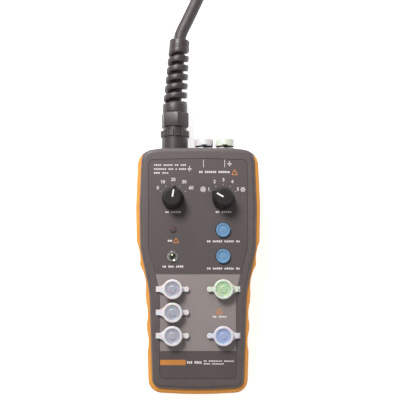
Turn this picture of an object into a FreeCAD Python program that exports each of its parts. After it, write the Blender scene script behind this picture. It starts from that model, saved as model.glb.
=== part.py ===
"""Handheld adapter for testing vehicle charging stations, in millimetres.

The frame: +X across the case, +Y towards the end with the lead, +Z out of the panel. The origin is in
the middle of the case, on its flat back.
"""

import FreeCAD, Part
import math
import os
import re

import Sketcher

DIMENSIONS = {
    # case outline, seen from the front
    "body_length": 212.0,
    "top_width": 103.8,
    "widest_width": 107.4,
    "widest_y": 55.0,
    "shoulder_width": 106.0,
    "shoulder_y": 20.0,
    "waist_width": 90.0,
    "waist_y": -18.0,
    "foot_width": 84.6,
    "end_flat_width": 60.0,
    "end_drop": 2.6,
    "foot_drop": 2.4,
    "flat_radius": 60.0,
    "crown_radius": 400.0,
    "flank_radius": 80.0,
    "shoulder_radius": 200.0,
    "top_corner_radius": 10.0,
    "foot_corner_radius": 8.0,
    # case section
    "body_height": 45.0,
    "half_plane_reach": 80.0,
    "parting_height": 10.0,
    "side_wall": 3.0,
    "panel_wall": 3.0,
    "floor_wall": 2.6,
    "front_edge_radius": 3.5,
    "back_edge_radius": 2.5,
    "gasket_width": 1.2,
    "gasket_depth": 1.0,
    # grip along the sides and the foot
    "grip_wall": 3.4,
    "grip_foot_wall": 4.4,
    "grip_low": 3.5,
    "grip_high": 41.0,
    "grip_end_y": 99.5,
    "grip_edge_radius": 3.0,
    "groove_radius": 34.0,
    "groove_depth": 1.3,
    "groove_first_y": 10.6,
    "groove_pitch": 23.8,
    # printed panel in its recess
    "panel_top_width": 85.2,
    "panel_foot_width": 65.4,
    "panel_top_y": 97.0,
    "panel_foot_y": 91.5,
    "panel_crown": 1.5,
    "panel_corner_radius": 4.2,
    "recess_depth": 0.8,
    "overlay_thickness": 0.5,
    "overlay_gap": 0.3,
    # places on the panel
    "column_x": 21.5,
    "knob_y": 61.8,
    "lamp_y": 35.3,
    "touch_y": 12.3,
    "upper_button_y": 34.8,
    "lower_button_y": 12.5,
    "socket_top_y": -15.6,
    "socket_pitch": 19.7,
    # places on the end face
    "end_axis_z": 24.0,
    "gland_x": -20.5,
    "cp_socket_x": 5.3,
    "pe_socket_x": 23.5,
    "end_seat_radius": 7.8,
    "end_seat_height": 1.5,
    # slack of holes round what passes through them, and of flat seats round their nuts
    "hole_slack": 0.15,
    "nut_seat_slack": 0.5,
    "through_extra": 1.0,
    # rotary selectors
    "knob_skirt_radius": 9.3,
    "knob_skirt_height": 3.2,
    "knob_radius": 8.5,
    "knob_top_radius": 7.4,
    "knob_height": 16.5,
    "knob_cap_radius": 6.5,
    "knob_cap_depth": 1.4,
    "knob_shoulder": 0.8,
    "knob_bevel": 0.7,
    "knob_cap_bevel": 0.4,
    "knob_nose": 1.9,
    "knob_nose_root": 2.6,
    "knob_nose_tip": 0.5,
    "knob_nose_sink": 0.9,
    "knob_lift": 0.5,
    "knob_pocket_radius": 7.4,
    "shaft_radius": 3.0,
    "shaft_clearance": 0.05,
    "switch_bush_radius": 4.5,
    "switch_bush_height": 3.2,
    "switch_radius": 12.5,
    "switch_height": 15.0,
    "switch_floor": 0.7,
    "shaft_gap": 0.3,
    "switch_nut_flats": 12.0,
    "switch_nut_height": 2.2,
    # push buttons
    "button_radius": 6.1,
    "button_clearance": 0.35,
    "button_height": 2.6,
    "button_travel": 2.0,
    "button_rim": 1.5,
    "button_bevel": 0.5,
    "button_dish": 0.7,
    "button_flange": 1.6,
    "button_flange_height": 4.0,
    "button_spring_length": 5.0,
    "button_spring_radius": 5.0,
    "button_spring_wire": 0.8,
    "button_housing_wall": 1.0,
    "button_housing_floor": 3.0,
    # lamp and touch electrode
    "lamp_radius": 2.3,
    "lamp_flange": 0.5,
    "lamp_depth": 14.0,
    "lamp_lip": 0.5,
    "lamp_height": 2.0,
    "lamp_wall": 1.4,
    "bulb_tail": 2.0,
    "bulb_gap": 0.4,
    "bulb_radius": 1.3,
    "touch_radius": 4.7,
    "touch_height": 1.5,
    "touch_bevel": 0.5,
    "touch_dish_depth": 0.8,
    "touch_dish_fall": 1.1,
    "touch_stem_radius": 3.4,
    "touch_stem_length": 9.0,
    "touch_nut_flats": 10.0,
    "touch_nut_height": 2.5,
    # 4 mm safety sockets
    "contact_bore_radius": 2.0,
    "contact_radius": 3.0,
    "contact_recess": 2.0,
    "contact_depth": 20.0,
    "contact_tail": 8.0,
    "contact_tail_radius": 1.6,
    "contact_tail_overlap": 3.0,
    "socket_bore_radius": 4.6,
    "socket_bore_depth": 16.0,
    "socket_thread_radius": 6.0,
    "socket_length": 24.0,
    "socket_flange": 1.2,
    "socket_collar_height": 6.3,
    "socket_chamfer": 0.6,
    "socket_nut_radius": 8.0,
    "socket_nut_height": 3.0,
    # dust caps and the rings that hold them
    "cap_clearance": 0.6,
    "cap_wall": 0.6,
    "cap_low": 2.3,
    "cap_height": 6.4,
    "cap_top_wall": 1.6,
    "cap_dish_radius": 6.3,
    "cap_dish_depth": 0.7,
    "cap_button_radius": 2.6,
    "cap_button_height": 0.3,
    "cap_bevel": 0.6,
    "cap_dish_slope": 0.4,
    "strap_root_share": 0.75,
    "strap_width": 4.6,
    "strap_thickness": 1.0,
    "tab_reach": 13.9,
    "hinge_reach": 13.2,
    "hinge_drop": 0.4,
    "strap_gap": 0.35,
    "ring_wall": 0.9,
    "ring_thickness": 0.8,
    "ring_arm_lift": 0.4,
    "ring_arm_reach": 14.4,
    # cable gland, along its axis from the end face
    "gland_thread_radius": 10.0,
    "gland_bore_radius": 5.9,
    "gland_inner_length": 10.5,
    "collar_radius": 11.6,
    "collar_length": 12.0,
    "ring_flange_radius": 12.9,
    "ring_flange_length": 5.0,
    "ring_teeth": 12,
    "tooth_outset": 0.4,
    "tooth_depth": 1.3,
    "gland_neck_radius": 10.4,
    "gland_neck_length": 13.0,
    "gland_nut_gap": 3.4,
    "gland_nut_flats": 22.2,
    "gland_nut_length": 12.9,
    "shoulder_radius": 10.9,
    "shoulder_length": 8.4,
    "spiral_length": 48.4,
    "spiral_foot_radius": 10.7,
    "spiral_tip_radius": 9.1,
    "spiral_turns": 6,
    "spiral_core_radius": 7.0,
    "spiral_rib_share": 0.6,
    "tip_collar_length": 8.9,
    "tip_collar_radius": 8.9,
    "relief_lean": 4.1,
    "relief_clearance": 0.5,
    "locknut_flats": 26.0,
    "locknut_height": 5.0,
    "seal_radius": 8.2,
    "seal_length": 12.0,
    "seal_proud": 1.0,
    "relief_overlap": 2.0,
    # lead
    "lead_diameter": 11.0,
    "lead_inner_end": 14.5,
    "lead_gap": 0.1,
    "lead_straight": 3.5,
    "conductor_radius": 1.4,
    "conductor_ring_radius": 3.3,
    # connector on the lead, along its axis from the cable's end
    "boot_length": 22.0,
    "boot_rear_radius": 8.0,
    "boot_front_radius": 12.5,
    "connector_radius": 21.0,
    "connector_length": 62.0,
    "connector_taper": 14.0,
    "connector_inner_taper": 8.0,
    "connector_step": 1.5,
    "connector_bevel": 1.0,
    "connector_back_wall": 6.0,
    "connector_wall": 2.8,
    "insert_place": 24.0,
    "insert_thickness": 8.0,
    "pin_radius": 3.0,
    "pin_ring_radius": 10.5,
    "pin_length": 20.0,
    # board, terminals and screws
    "board_width": 66.0,
    "board_top_y": 75.0,
    "board_foot_y": 80.0,
    "board_seat": 8.0,
    "board_thickness": 1.6,
    "board_corner": 3.0,
    "board_screw_x": 28.0,
    "board_screw_inset": 9.0,
    "post_radius": 3.2,
    "board_screw_radius": 1.2,
    "board_screw_head_radius": 2.4,
    "board_screw_head": 1.6,
    "board_screw_length": 5.0,
    "terminal_width": 29.0,
    "terminal_depth": 12.0,
    "terminal_height": 14.0,
    "terminal_y": 47.0,
    "case_screw_top_x": 39.0,
    "case_screw_top_y": 91.0,
    "case_screw_foot_x": 30.0,
    "case_screw_foot_y": -88.0,
    "case_boss_radius": 4.0,
    "case_screw_radius": 1.5,
    "case_screw_clearance": 0.2,
    "case_screw_head_radius": 2.9,
    "case_screw_head": 2.2,
    "case_screw_sink": 3.0,
    "case_screw_length": 17.0,
    "screw_slot_length": 4.0,
    "screw_slot_width": 0.8,
    "screw_slot_depth": 1.0,
    "label_width": 58.0,
    "label_length": 44.0,
    "label_depth": 0.5,
    "label_y": -30.0,
}

# A selector's pointer, in degrees clockwise from straight up, as the part rests.
RANGE_KNOB_REST = 10.0
STATE_KNOB_REST = -60.0

GROOVES = 4
CONDUCTORS = 5
PINS = 7
# The share of its run that the bend in the lead takes up where the relief starts to lean.
CORE_BEND_SHARE = 0.1
# The same for the bends of the lead beyond the relief.
LEAD_BEND_SHARE = 0.45

# The lead's route beyond its straight run out of the bend relief: how far across and along from the tip,
# and the share of its height above the surface. It leans further than the relief and comes down from the
# gland's axis.
LEAD_FALL = [
    (2.2, 8.6, 1.0),
    (6.6, 17.5, 0.97),
    (15.2, 36.6, 0.84),
    (25.5, 61.0, 0.55),
    (43.2, 102.5, 0.13),
    (56.2, 143.0, 0.0),
    (60.2, 184.0, 0.0),
    (38.7, 219.3, 0.0),
]
# Then it rises to the axis of the connector, which lies on the surface. The last run is level.
LEAD_RISE = [
    (0.2, 232.5, 0.104),
    (-39.6, 218.0, 0.506),
    (-63.6, 183.0, 1.0),
    (-63.6, 145.15, 1.0),
]

doc = FreeCAD.newDocument("StationTestAdapter")
sheet = doc.addObject("Spreadsheet::Sheet", "Dims")
for row, (alias, number) in enumerate(DIMENSIONS.items(), start=1):
    sheet.set(f"A{row}", alias)
    sheet.set(f"B{row}", str(number))
    sheet.setAlias(f"B{row}", alias)
doc.recompute()

parts = {}


# --- working with the sheet -------------------------------------------------------------------------


def bound(text):
    """The expression with every dimension's name pointing at its cell."""
    return re.sub(r"[a-z]\w*", lambda word: "Dims." + word[0] if word[0] in DIMENSIONS else word[0], text)


def value(text):
    """The expression's number, from the sheet."""
    return float(sheet.evalExpression(bound(text)))


def bind(thing, name, text):
    thing.setExpression(name, bound(text))


# --- sketches ---------------------------------------------------------------------------------------


def new_body(label):
    body = doc.addObject("PartDesign::Body", label)
    body.Label = label
    parts[label] = body
    return body


def new_sketch(body, plane="XY_Plane", offset="0"):
    sketch = body.newObject("Sketcher::SketchObject", "Sketch")
    support = next(item for item in body.Origin.OriginFeatures if item.Role == plane)
    sketch.AttachmentSupport = (support, [""])
    sketch.MapMode = "FlatFace"
    bind(sketch, "AttachmentOffset.Base.z", offset)
    return sketch


def pin_point(sketch, geometry, position, x, y):
    """Hold a point of the sketch at expressions x and y, measured from the sketch's origin."""
    for kind, axis, text in (("DistanceX", -2, x), ("DistanceY", -1, y)):
        if text == "0":
            sketch.addConstraint(Sketcher.Constraint("PointOnObject", geometry, position, axis))
        else:
            index = sketch.addConstraint(
                Sketcher.Constraint(kind, -1, 1, geometry, position, value(text))
            )
            bind(sketch, f"Constraints[{index}]", text)


def add_circle(sketch, x, y, radius):
    centre = FreeCAD.Vector(value(x), value(y), 0)
    circle = sketch.addGeometry(Part.Circle(centre, FreeCAD.Vector(0, 0, 1), value(radius)))
    pin_point(sketch, circle, 3, x, y)
    index = sketch.addConstraint(Sketcher.Constraint("Radius", circle, value(radius)))
    bind(sketch, f"Constraints[{index}]", radius)


def add_polygon(sketch, points):
    """A closed outline of straight runs through points given as pairs of expressions."""
    spots = [FreeCAD.Vector(value(x), value(y), 0) for x, y in points]
    lines = [
        sketch.addGeometry(Part.LineSegment(start, end))
        for start, end in zip(spots, spots[1:] + spots[:1])
    ]
    for index, (x, y) in enumerate(points):
        sketch.addConstraint(Sketcher.Constraint("Coincident", lines[index - 1], 2, lines[index], 1))
        pin_point(sketch, lines[index], 1, x, y)


def add_outline(sketch, corners):
    """A closed outline of straight runs, with a tangent arc at each corner (x, y, radius)."""
    spots = [FreeCAD.Vector(value(x), value(y), 0) for x, y, _ in corners]
    bends = []
    for index, spot in enumerate(spots):
        back = (spots[index - 1] - spot).normalize()
        ahead = (spots[(index + 1) % len(spots)] - spot).normalize()
        radius = value(corners[index][2])
        half = back.getAngle(ahead) / 2
        reach = radius / math.tan(half)
        depth = radius / math.sin(half) - radius
        middle = spot + (back + ahead).normalize() * depth
        bends.append((spot + back * reach, middle, spot + ahead * reach))
    arcs = [sketch.addGeometry(Part.Arc(*bend)) for bend in bends]
    lines = [
        sketch.addGeometry(Part.LineSegment(bend[2], after[0]))
        for bend, after in zip(bends, bends[1:] + bends[:1])
    ]
    for index, (x, y, radius) in enumerate(corners):
        begins_here = sketch.getPoint(arcs[index], 1).distanceToPoint(bends[index][0]) < 1e-6
        arrive, leave = (1, 2) if begins_here else (2, 1)
        before, after = lines[index - 1], lines[index]
        sketch.addConstraint(Sketcher.Constraint("Tangent", before, 2, arcs[index], arrive))
        sketch.addConstraint(Sketcher.Constraint("Tangent", arcs[index], leave, after, 1))
        number = sketch.addConstraint(Sketcher.Constraint("Radius", arcs[index], value(radius)))
        bind(sketch, f"Constraints[{number}]", radius)
        corner = sketch.addGeometry(Part.Point(spots[index]), True)
        sketch.addConstraint(Sketcher.Constraint("PointOnObject", corner, 1, before))
        sketch.addConstraint(Sketcher.Constraint("PointOnObject", corner, 1, after))
        pin_point(sketch, corner, 1, x, y)


def both_sides(right):
    """The corners of a right half, from the top down, followed by their mirror images."""
    left = [(f"-({x})", y, radius) for x, y, radius in reversed(right) if x != "0"]
    return right + left


# --- features ---------------------------------------------------------------------------------------


def pad(body, sketch, length):
    feature = body.newObject("PartDesign::Pad", "Pad")
    feature.Profile = sketch
    bind(feature, "Length", length)
    doc.recompute()
    return feature


def pocket(body, sketch, length):
    """Cut from the sketch against its normal, and make sure that something was cut."""
    before = body.Tip.Shape.Volume
    feature = body.newObject("PartDesign::Pocket", "Pocket")
    feature.Profile = sketch
    bind(feature, "Length", length)
    doc.recompute()
    if feature.Shape.Volume > before - 1e-3:
        raise ValueError(f"a pocket of {body.Label} cuts nothing")
    return feature


def round_edges(body, radius, chosen):
    """Fillet the edges of the body's tip that the function chosen accepts."""
    tip = body.Tip
    names = [f"Edge{i}" for i, edge in enumerate(tip.Shape.Edges, start=1) if chosen(edge)]
    feature = body.newObject("PartDesign::Fillet", "Fillet")
    feature.Base = (tip, names)
    bind(feature, "Radius", radius)
    doc.recompute()


def level(height):
    """Chooses the edges that lie flat at a height."""
    return lambda edge: abs(edge.BoundBox.ZMin - height) < 1e-4 and abs(edge.BoundBox.ZMax - height) < 1e-4


def revolve(body, points, lean=None, kind="Revolution"):
    """Turn a half section (radius, height) about the body's Z axis, or about one that leans from it."""
    sketch = new_sketch(body, "XZ_Plane")
    if lean:
        pivot, angle = lean
        sketch.AttachmentOffset = FreeCAD.Placement(
            FreeCAD.Vector(0, value(pivot), 0), FreeCAD.Rotation(FreeCAD.Vector(0, 0, -1), value(angle))
        )
        bind(sketch, "AttachmentOffset.Base.y", pivot)
        bind(sketch, "AttachmentOffset.Rotation.Angle", angle)
    add_polygon(sketch, points)
    feature = body.newObject(f"PartDesign::{kind}", kind)
    feature.Profile = sketch
    feature.ReferenceAxis = (sketch, ["V_Axis"])
    feature.Angle = 360
    doc.recompute()


def groove(body, points, lean=None):
    """Cut a half section turned about the same axes, and make sure that something was cut."""
    before = body.Tip.Shape.Volume
    revolve(body, points, lean, "Groove")
    if body.Tip.Shape.Volume > before - 1e-3:
        raise ValueError(f"a groove of {body.Label} cuts nothing")


def turned(label, points):
    """A sub-part turned about its own Z axis."""
    body = new_body(label)
    revolve(body, points)
    return body


def hexagon(flats):
    """The corners of a hexagon, as pairs of expressions, from its size across the flats."""
    side = f"({flats}) / sqrt(3)"
    half = f"({flats}) / 2"
    return [
        (side, "0"),
        (f"{side} / 2", half),
        (f"-({side}) / 2", half),
        (f"-({side})", "0"),
        (f"-({side}) / 2", f"-({half})"),
        (f"{side} / 2", f"-({half})"),
    ]


def hex_nut(label, flats, height, bore):
    body = new_body(label)
    sketch = new_sketch(body)
    add_polygon(sketch, hexagon(flats))
    add_circle(sketch, "0", "0", bore)
    pad(body, sketch, height)
    return body


def feature_of(label, shape):
    """A sub-part whose shape is made directly."""
    feature = doc.addObject("Part::Feature", label)
    feature.Label = label
    feature.Shape = shape
    parts[label] = feature


def solid_group(label, shapes):
    """Separate equal solids that share one sub-part."""
    feature_of(label, Part.makeCompound(shapes))


def at(part, x, y, z, turn=None):
    """Place a sub-part at expressions x, y, z, turned by a rotation about its own origin."""
    part.Placement = FreeCAD.Placement(
        FreeCAD.Vector(value(x), value(y), value(z)), turn or FreeCAD.Rotation()
    )
    for axis, text in zip("xyz", (x, y, z)):
        bind(part, f"Placement.Base.{axis}", text)


UP = FreeCAD.Vector(0, 0, 1)
# A sub-part made along its own Z axis points out of the end face: its X stays across the case.
TO_END = FreeCAD.Rotation(FreeCAD.Vector(1, 0, 0), -90)
TO_FOOT = FreeCAD.Rotation(FreeCAD.Vector(1, 0, 0), 90)
PANEL_LEVEL = "body_height - recess_depth + overlay_thickness"
# How far the panel's inner face lies below the level on which the controls sit.
PANEL_INNER = "panel_wall - recess_depth + overlay_thickness"
END_FACE = "body_length / 2"
# The raised seats of the sockets on the end face.
SEAT_FACE = f"{END_FACE} + end_seat_height"
COLLAR_RADIUS = "(socket_thread_radius + socket_flange)"


# --- the case ---------------------------------------------------------------------------------------


def case_outline(
    side="0",
    end="0",
    foot="0",
    top_corner="top_corner_radius",
    low_corner="foot_corner_radius",
    shoulder="shoulder_radius",
):
    """The case seen from the front, drawn in by so much at the sides, the end and the foot."""
    right = [
        ("end_flat_width / 2", f"{END_FACE} - ({end})", "flat_radius"),
        (f"top_width / 2 - ({side})", f"{END_FACE} - end_drop - ({end})", top_corner),
        (f"widest_width / 2 - ({side})", "widest_y", "flank_radius"),
        (f"shoulder_width / 2 - ({side})", "shoulder_y", shoulder),
        (f"waist_width / 2 - ({side})", "waist_y", "flank_radius"),
        (f"foot_width / 2 - ({side})", f"-({END_FACE} - foot_drop - ({foot}))", low_corner),
        ("0", f"-({END_FACE} - ({foot}))", "crown_radius"),
    ]
    return both_sides(right)


def outer_outline():
    return case_outline(
        top_corner="top_corner_radius + grip_wall",
        low_corner="foot_corner_radius + grip_wall",
        shoulder="flank_radius",
    )


def shell_outline():
    return case_outline("grip_wall", "0", "grip_foot_wall")


def cavity_outline(inset="side_wall"):
    """The inside of the case, or a line nearer to its outside."""
    return case_outline(
        f"grip_wall + ({inset})",
        inset,
        f"grip_foot_wall + ({inset})",
        f"top_corner_radius - ({inset})",
        f"foot_corner_radius - ({inset})",
    )


def half_plane(sketch, above):
    """A rectangle over everything on one side of the line where the grip ends."""
    far = "body_length" if above else "-body_length"
    add_polygon(
        sketch,
        [
            ("-half_plane_reach", "grip_end_y"),
            ("half_plane_reach", "grip_end_y"),
            ("half_plane_reach", far),
            ("-half_plane_reach", far),
        ],
    )


def end_block(body, low, height):
    """The part of a shell that stands out to the grip's outside, at the end that the grip leaves free."""
    sketch = new_sketch(body, offset=low)
    add_outline(sketch, outer_outline())
    pad(body, sketch, height)


def trim_end_block(body, top, height):
    sketch = new_sketch(body, offset=top)
    half_plane(sketch, above=False)
    pocket(body, sketch, height)


def boss_places():
    """The four screw bosses of the case."""
    return [
        ("case_screw_top_x", "case_screw_top_y"),
        ("-case_screw_top_x", "case_screw_top_y"),
        ("case_screw_foot_x", "case_screw_foot_y"),
        ("-case_screw_foot_x", "case_screw_foot_y"),
    ]


def board_screw_places():
    top = "board_top_y - board_screw_inset"
    foot = "-(board_foot_y - board_screw_inset)"
    return [(x, y) for y in (top, foot) for x in ("board_screw_x", "-board_screw_x")]


def circles(body, offset, places, radius, plane="XY_Plane"):
    sketch = new_sketch(body, plane, offset)
    for x, y in places:
        add_circle(sketch, x, y, radius)
    return sketch


def panel_outline(inset="0"):
    """The printed panel: wide above, narrow below, with the case's own flanks."""
    corner = f"panel_corner_radius - ({inset})"
    right = [
        ("0", f"panel_top_y - ({inset})", "crown_radius"),
        (f"panel_top_width / 2 - ({inset})", f"panel_top_y - panel_crown - ({inset})", corner),
        (f"panel_top_width / 2 - ({inset})", "shoulder_y", "shoulder_radius"),
        (f"panel_foot_width / 2 - ({inset})", "waist_y", "flank_radius"),
        (f"panel_foot_width / 2 - ({inset})", f"-(panel_foot_y - ({inset}))", corner),
    ]
    return both_sides(right)


SOCKETS = {
    "l1": ("-column_x", "socket_top_y"),
    "l2": ("-column_x", "socket_top_y - socket_pitch"),
    "l3": ("-column_x", "socket_top_y - 2 * socket_pitch"),
    "pe": ("column_x", "socket_top_y"),
    "n": ("column_x", "socket_top_y - 2 * socket_pitch"),
}
END_SOCKETS = {"cp_output": "cp_socket_x", "pe_output": "pe_socket_x"}
KNOBS = {
    "range": ("-column_x", "knob_y", RANGE_KNOB_REST),
    "state": ("column_x", "knob_y", STATE_KNOB_REST),
}
BUTTONS = {"upper": "upper_button_y", "lower": "lower_button_y"}


def panel_openings(body, top, depth):
    """Everything that passes through the panel, cut from a level down."""
    sketch = new_sketch(body, offset=top)
    for x, y, _ in KNOBS.values():
        add_circle(sketch, x, y, "switch_bush_radius + hole_slack")
    for y in BUTTONS.values():
        add_circle(sketch, "column_x", y, "button_radius + button_clearance + hole_slack")
    for x, y in SOCKETS.values():
        add_circle(sketch, x, y, "socket_thread_radius + hole_slack")
    add_circle(sketch, "-column_x", "lamp_y", "lamp_radius + hole_slack")
    add_circle(sketch, "-column_x", "touch_y", "touch_stem_radius + hole_slack")
    pocket(body, sketch, depth)


def make_front_shell():
    body = new_body("front_shell")
    inner = "body_height - panel_wall"
    end_block(body, "parting_height", "grip_high - parting_height")
    round_edges(body, "grip_edge_radius", level(value("grip_high")))
    trim_end_block(body, "grip_high", "grip_high - parting_height")
    sketch = new_sketch(body, offset="parting_height")
    add_outline(sketch, shell_outline())
    pad(body, sketch, "body_height - parting_height")
    round_edges(body, "front_edge_radius", level(value("body_height")))
    sketch = new_sketch(body, offset=inner)
    add_outline(sketch, cavity_outline())
    pocket(body, sketch, f"{inner} - parting_height")
    bosses = circles(body, "parting_height", boss_places(), "case_boss_radius")
    pad(body, bosses, f"{inner} - parting_height")
    screw_end = "case_screw_sink + case_screw_length"
    holes = circles(body, screw_end, boss_places(), "case_screw_radius")
    pocket(body, holes, f"{screw_end} - parting_height")
    sketch = new_sketch(body, offset="body_height")
    add_outline(sketch, panel_outline())
    pocket(body, sketch, "recess_depth")
    panel_openings(body, "body_height", "panel_wall")
    make_end_holes(body)


def make_end_holes(body):
    """The end wall: raised seats for its sockets, flat seats for the nuts inside, and holes."""
    gland = [("gland_x", "end_axis_z")]
    sockets = [(x, "end_axis_z") for x in END_SOCKETS.values()]
    outside = f"-({END_FACE} + end_seat_height)"
    raised = circles(body, outside, sockets, "end_seat_radius", "XZ_Plane")
    pad(body, raised, "end_seat_height + side_wall / 2")
    inside = f"-({END_FACE} - side_wall - end_drop)"
    through = "side_wall + end_seat_height + through_extra"
    cuts = [
        (gland, "locknut_flats / sqrt(3) + nut_seat_slack", "0"),
        (sockets, "socket_nut_radius + nut_seat_slack", "0"),
        (gland, "gland_thread_radius + hole_slack", through),
        (sockets, "socket_thread_radius + hole_slack", through),
    ]
    for places, radius, beyond in cuts:
        pocket(body, circles(body, inside, places, radius, "XZ_Plane"), f"end_drop + {beyond}")


def make_rear_shell():
    body = new_body("rear_shell")
    end_block(body, "0", "parting_height")
    round_edges(body, "back_edge_radius", level(0.0))
    trim_end_block(body, "parting_height", "parting_height")
    sketch = new_sketch(body)
    add_outline(sketch, shell_outline())
    pad(body, sketch, "parting_height")
    sketch = new_sketch(body, offset="parting_height")
    add_outline(sketch, cavity_outline())
    pocket(body, sketch, "parting_height - floor_wall")
    sketch = new_sketch(body, offset="parting_height")
    gasket_outlines(sketch)
    pocket(body, sketch, "gasket_depth")
    pad(body, circles(body, "floor_wall", boss_places(), "case_boss_radius"), "parting_height - floor_wall")
    pad(body, circles(body, "floor_wall", board_screw_places(), "post_radius"), "board_seat - floor_wall")
    holes = circles(body, "parting_height", boss_places(), "case_screw_radius + case_screw_clearance")
    pocket(body, holes, "parting_height")
    sinks = circles(body, "case_screw_sink", boss_places(), "case_screw_head_radius + case_screw_clearance")
    pocket(body, sinks, "case_screw_sink")
    holes = circles(body, "board_seat", board_screw_places(), "board_screw_radius")
    pocket(body, holes, "board_screw_length - board_thickness")
    sketch = new_sketch(body, offset="label_depth")
    add_outline(sketch, rectangle("label_width", "label_length", "label_y", "board_corner"))
    pocket(body, sketch, "label_depth")


def rectangle(width, length, middle, corner):
    right = [
        (f"{width} / 2", f"{middle} + {length} / 2", corner),
        (f"{width} / 2", f"{middle} - {length} / 2", corner),
    ]
    return both_sides(right)


def gasket_outlines(sketch):
    """The ring that lies in the rear shell's rim."""
    add_outline(sketch, cavity_outline("(side_wall - gasket_width) / 2"))
    add_outline(sketch, cavity_outline("(side_wall + gasket_width) / 2"))


def make_gasket():
    body = new_body("case_gasket")
    sketch = new_sketch(body, offset="parting_height - gasket_depth")
    gasket_outlines(sketch)
    pad(body, sketch, "gasket_depth")


def flank_at(y):
    """Half the case's width at expression y, on the flank below the widest place."""
    upper, lower = ("shoulder", "waist") if value(y) > value("waist_y") else ("waist", "foot")
    low_y = "waist_y" if lower == "waist" else f"-({END_FACE} - foot_drop)"
    share = f"(({y}) - ({low_y})) / ({upper}_y - ({low_y}))"
    return f"({lower}_width + ({upper}_width - {lower}_width) * {share}) / 2"


def make_side_grip():
    body = new_body("side_grip")
    sketch = new_sketch(body, offset="grip_low")
    add_outline(sketch, outer_outline())
    pad(body, sketch, "grip_high - grip_low")
    edges = {round(value("grip_low"), 4), round(value("grip_high"), 4)}
    round_edges(body, "grip_edge_radius", lambda edge: any(level(height)(edge) for height in edges))
    sketch = new_sketch(body, offset="grip_high")
    add_outline(sketch, shell_outline())
    pocket(body, sketch, "grip_high - grip_low")
    sketch = new_sketch(body, offset="grip_high")
    half_plane(sketch, above=True)
    pocket(body, sketch, "grip_high - grip_low")
    sketch = new_sketch(body, offset="grip_high")
    for index in range(GROOVES):
        y = f"groove_first_y - {index} * groove_pitch"
        x = f"{flank_at(y)} + groove_radius - groove_depth"
        add_circle(sketch, x, y, "groove_radius")
        add_circle(sketch, f"-({x})", y, "groove_radius")
    pocket(body, sketch, "grip_high - grip_low")


def make_overlay():
    body = new_body("panel_overlay")
    sketch = new_sketch(body, offset="body_height - recess_depth")
    add_outline(sketch, panel_outline("overlay_gap"))
    pad(body, sketch, "overlay_thickness")
    panel_openings(body, PANEL_LEVEL, "overlay_thickness")


def make_screws():
    sink = value("case_screw_sink")
    head = value("case_screw_head")
    slot_length = value("screw_slot_length")
    slot_width = value("screw_slot_width")
    slot_depth = value("screw_slot_depth")
    screws = []
    for x, y in boss_places():
        spot = FreeCAD.Vector(value(x), value(y), sink)
        shank = Part.makeCylinder(value("case_screw_radius"), value("case_screw_length"), spot)
        cap = Part.makeCylinder(value("case_screw_head_radius"), head, spot - UP * head)
        screw = shank.fuse(cap).removeSplitter()
        for across, along in ((slot_length, slot_width), (slot_width, slot_length)):
            corner = spot - UP * head - FreeCAD.Vector(across / 2, along / 2, 0)
            screw = screw.cut(Part.makeBox(across, along, slot_depth, corner))
        screws.append(screw)
    solid_group("case_screws", screws)
    seat = value("board_seat + board_thickness")
    length = value("board_screw_length")
    screws = []
    for x, y in board_screw_places():
        spot = FreeCAD.Vector(value(x), value(y), seat)
        shank = Part.makeCylinder(value("board_screw_radius"), length, spot - UP * length)
        head = Part.makeCylinder(value("board_screw_head_radius"), value("board_screw_head"), spot)
        screws.append(shank.fuse(head).removeSplitter())
    solid_group("board_screws", screws)


def make_board():
    body = new_body("main_board")
    sketch = new_sketch(body, offset="board_seat")
    middle = "(board_top_y - board_foot_y) / 2"
    add_outline(sketch, rectangle("board_width", "(board_top_y + board_foot_y)", middle, "board_corner"))
    for x, y in board_screw_places():
        add_circle(sketch, x, y, "board_screw_radius")
    pad(body, sketch, "board_thickness")


# --- selectors --------------------------------------------------------------------------------------


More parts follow.
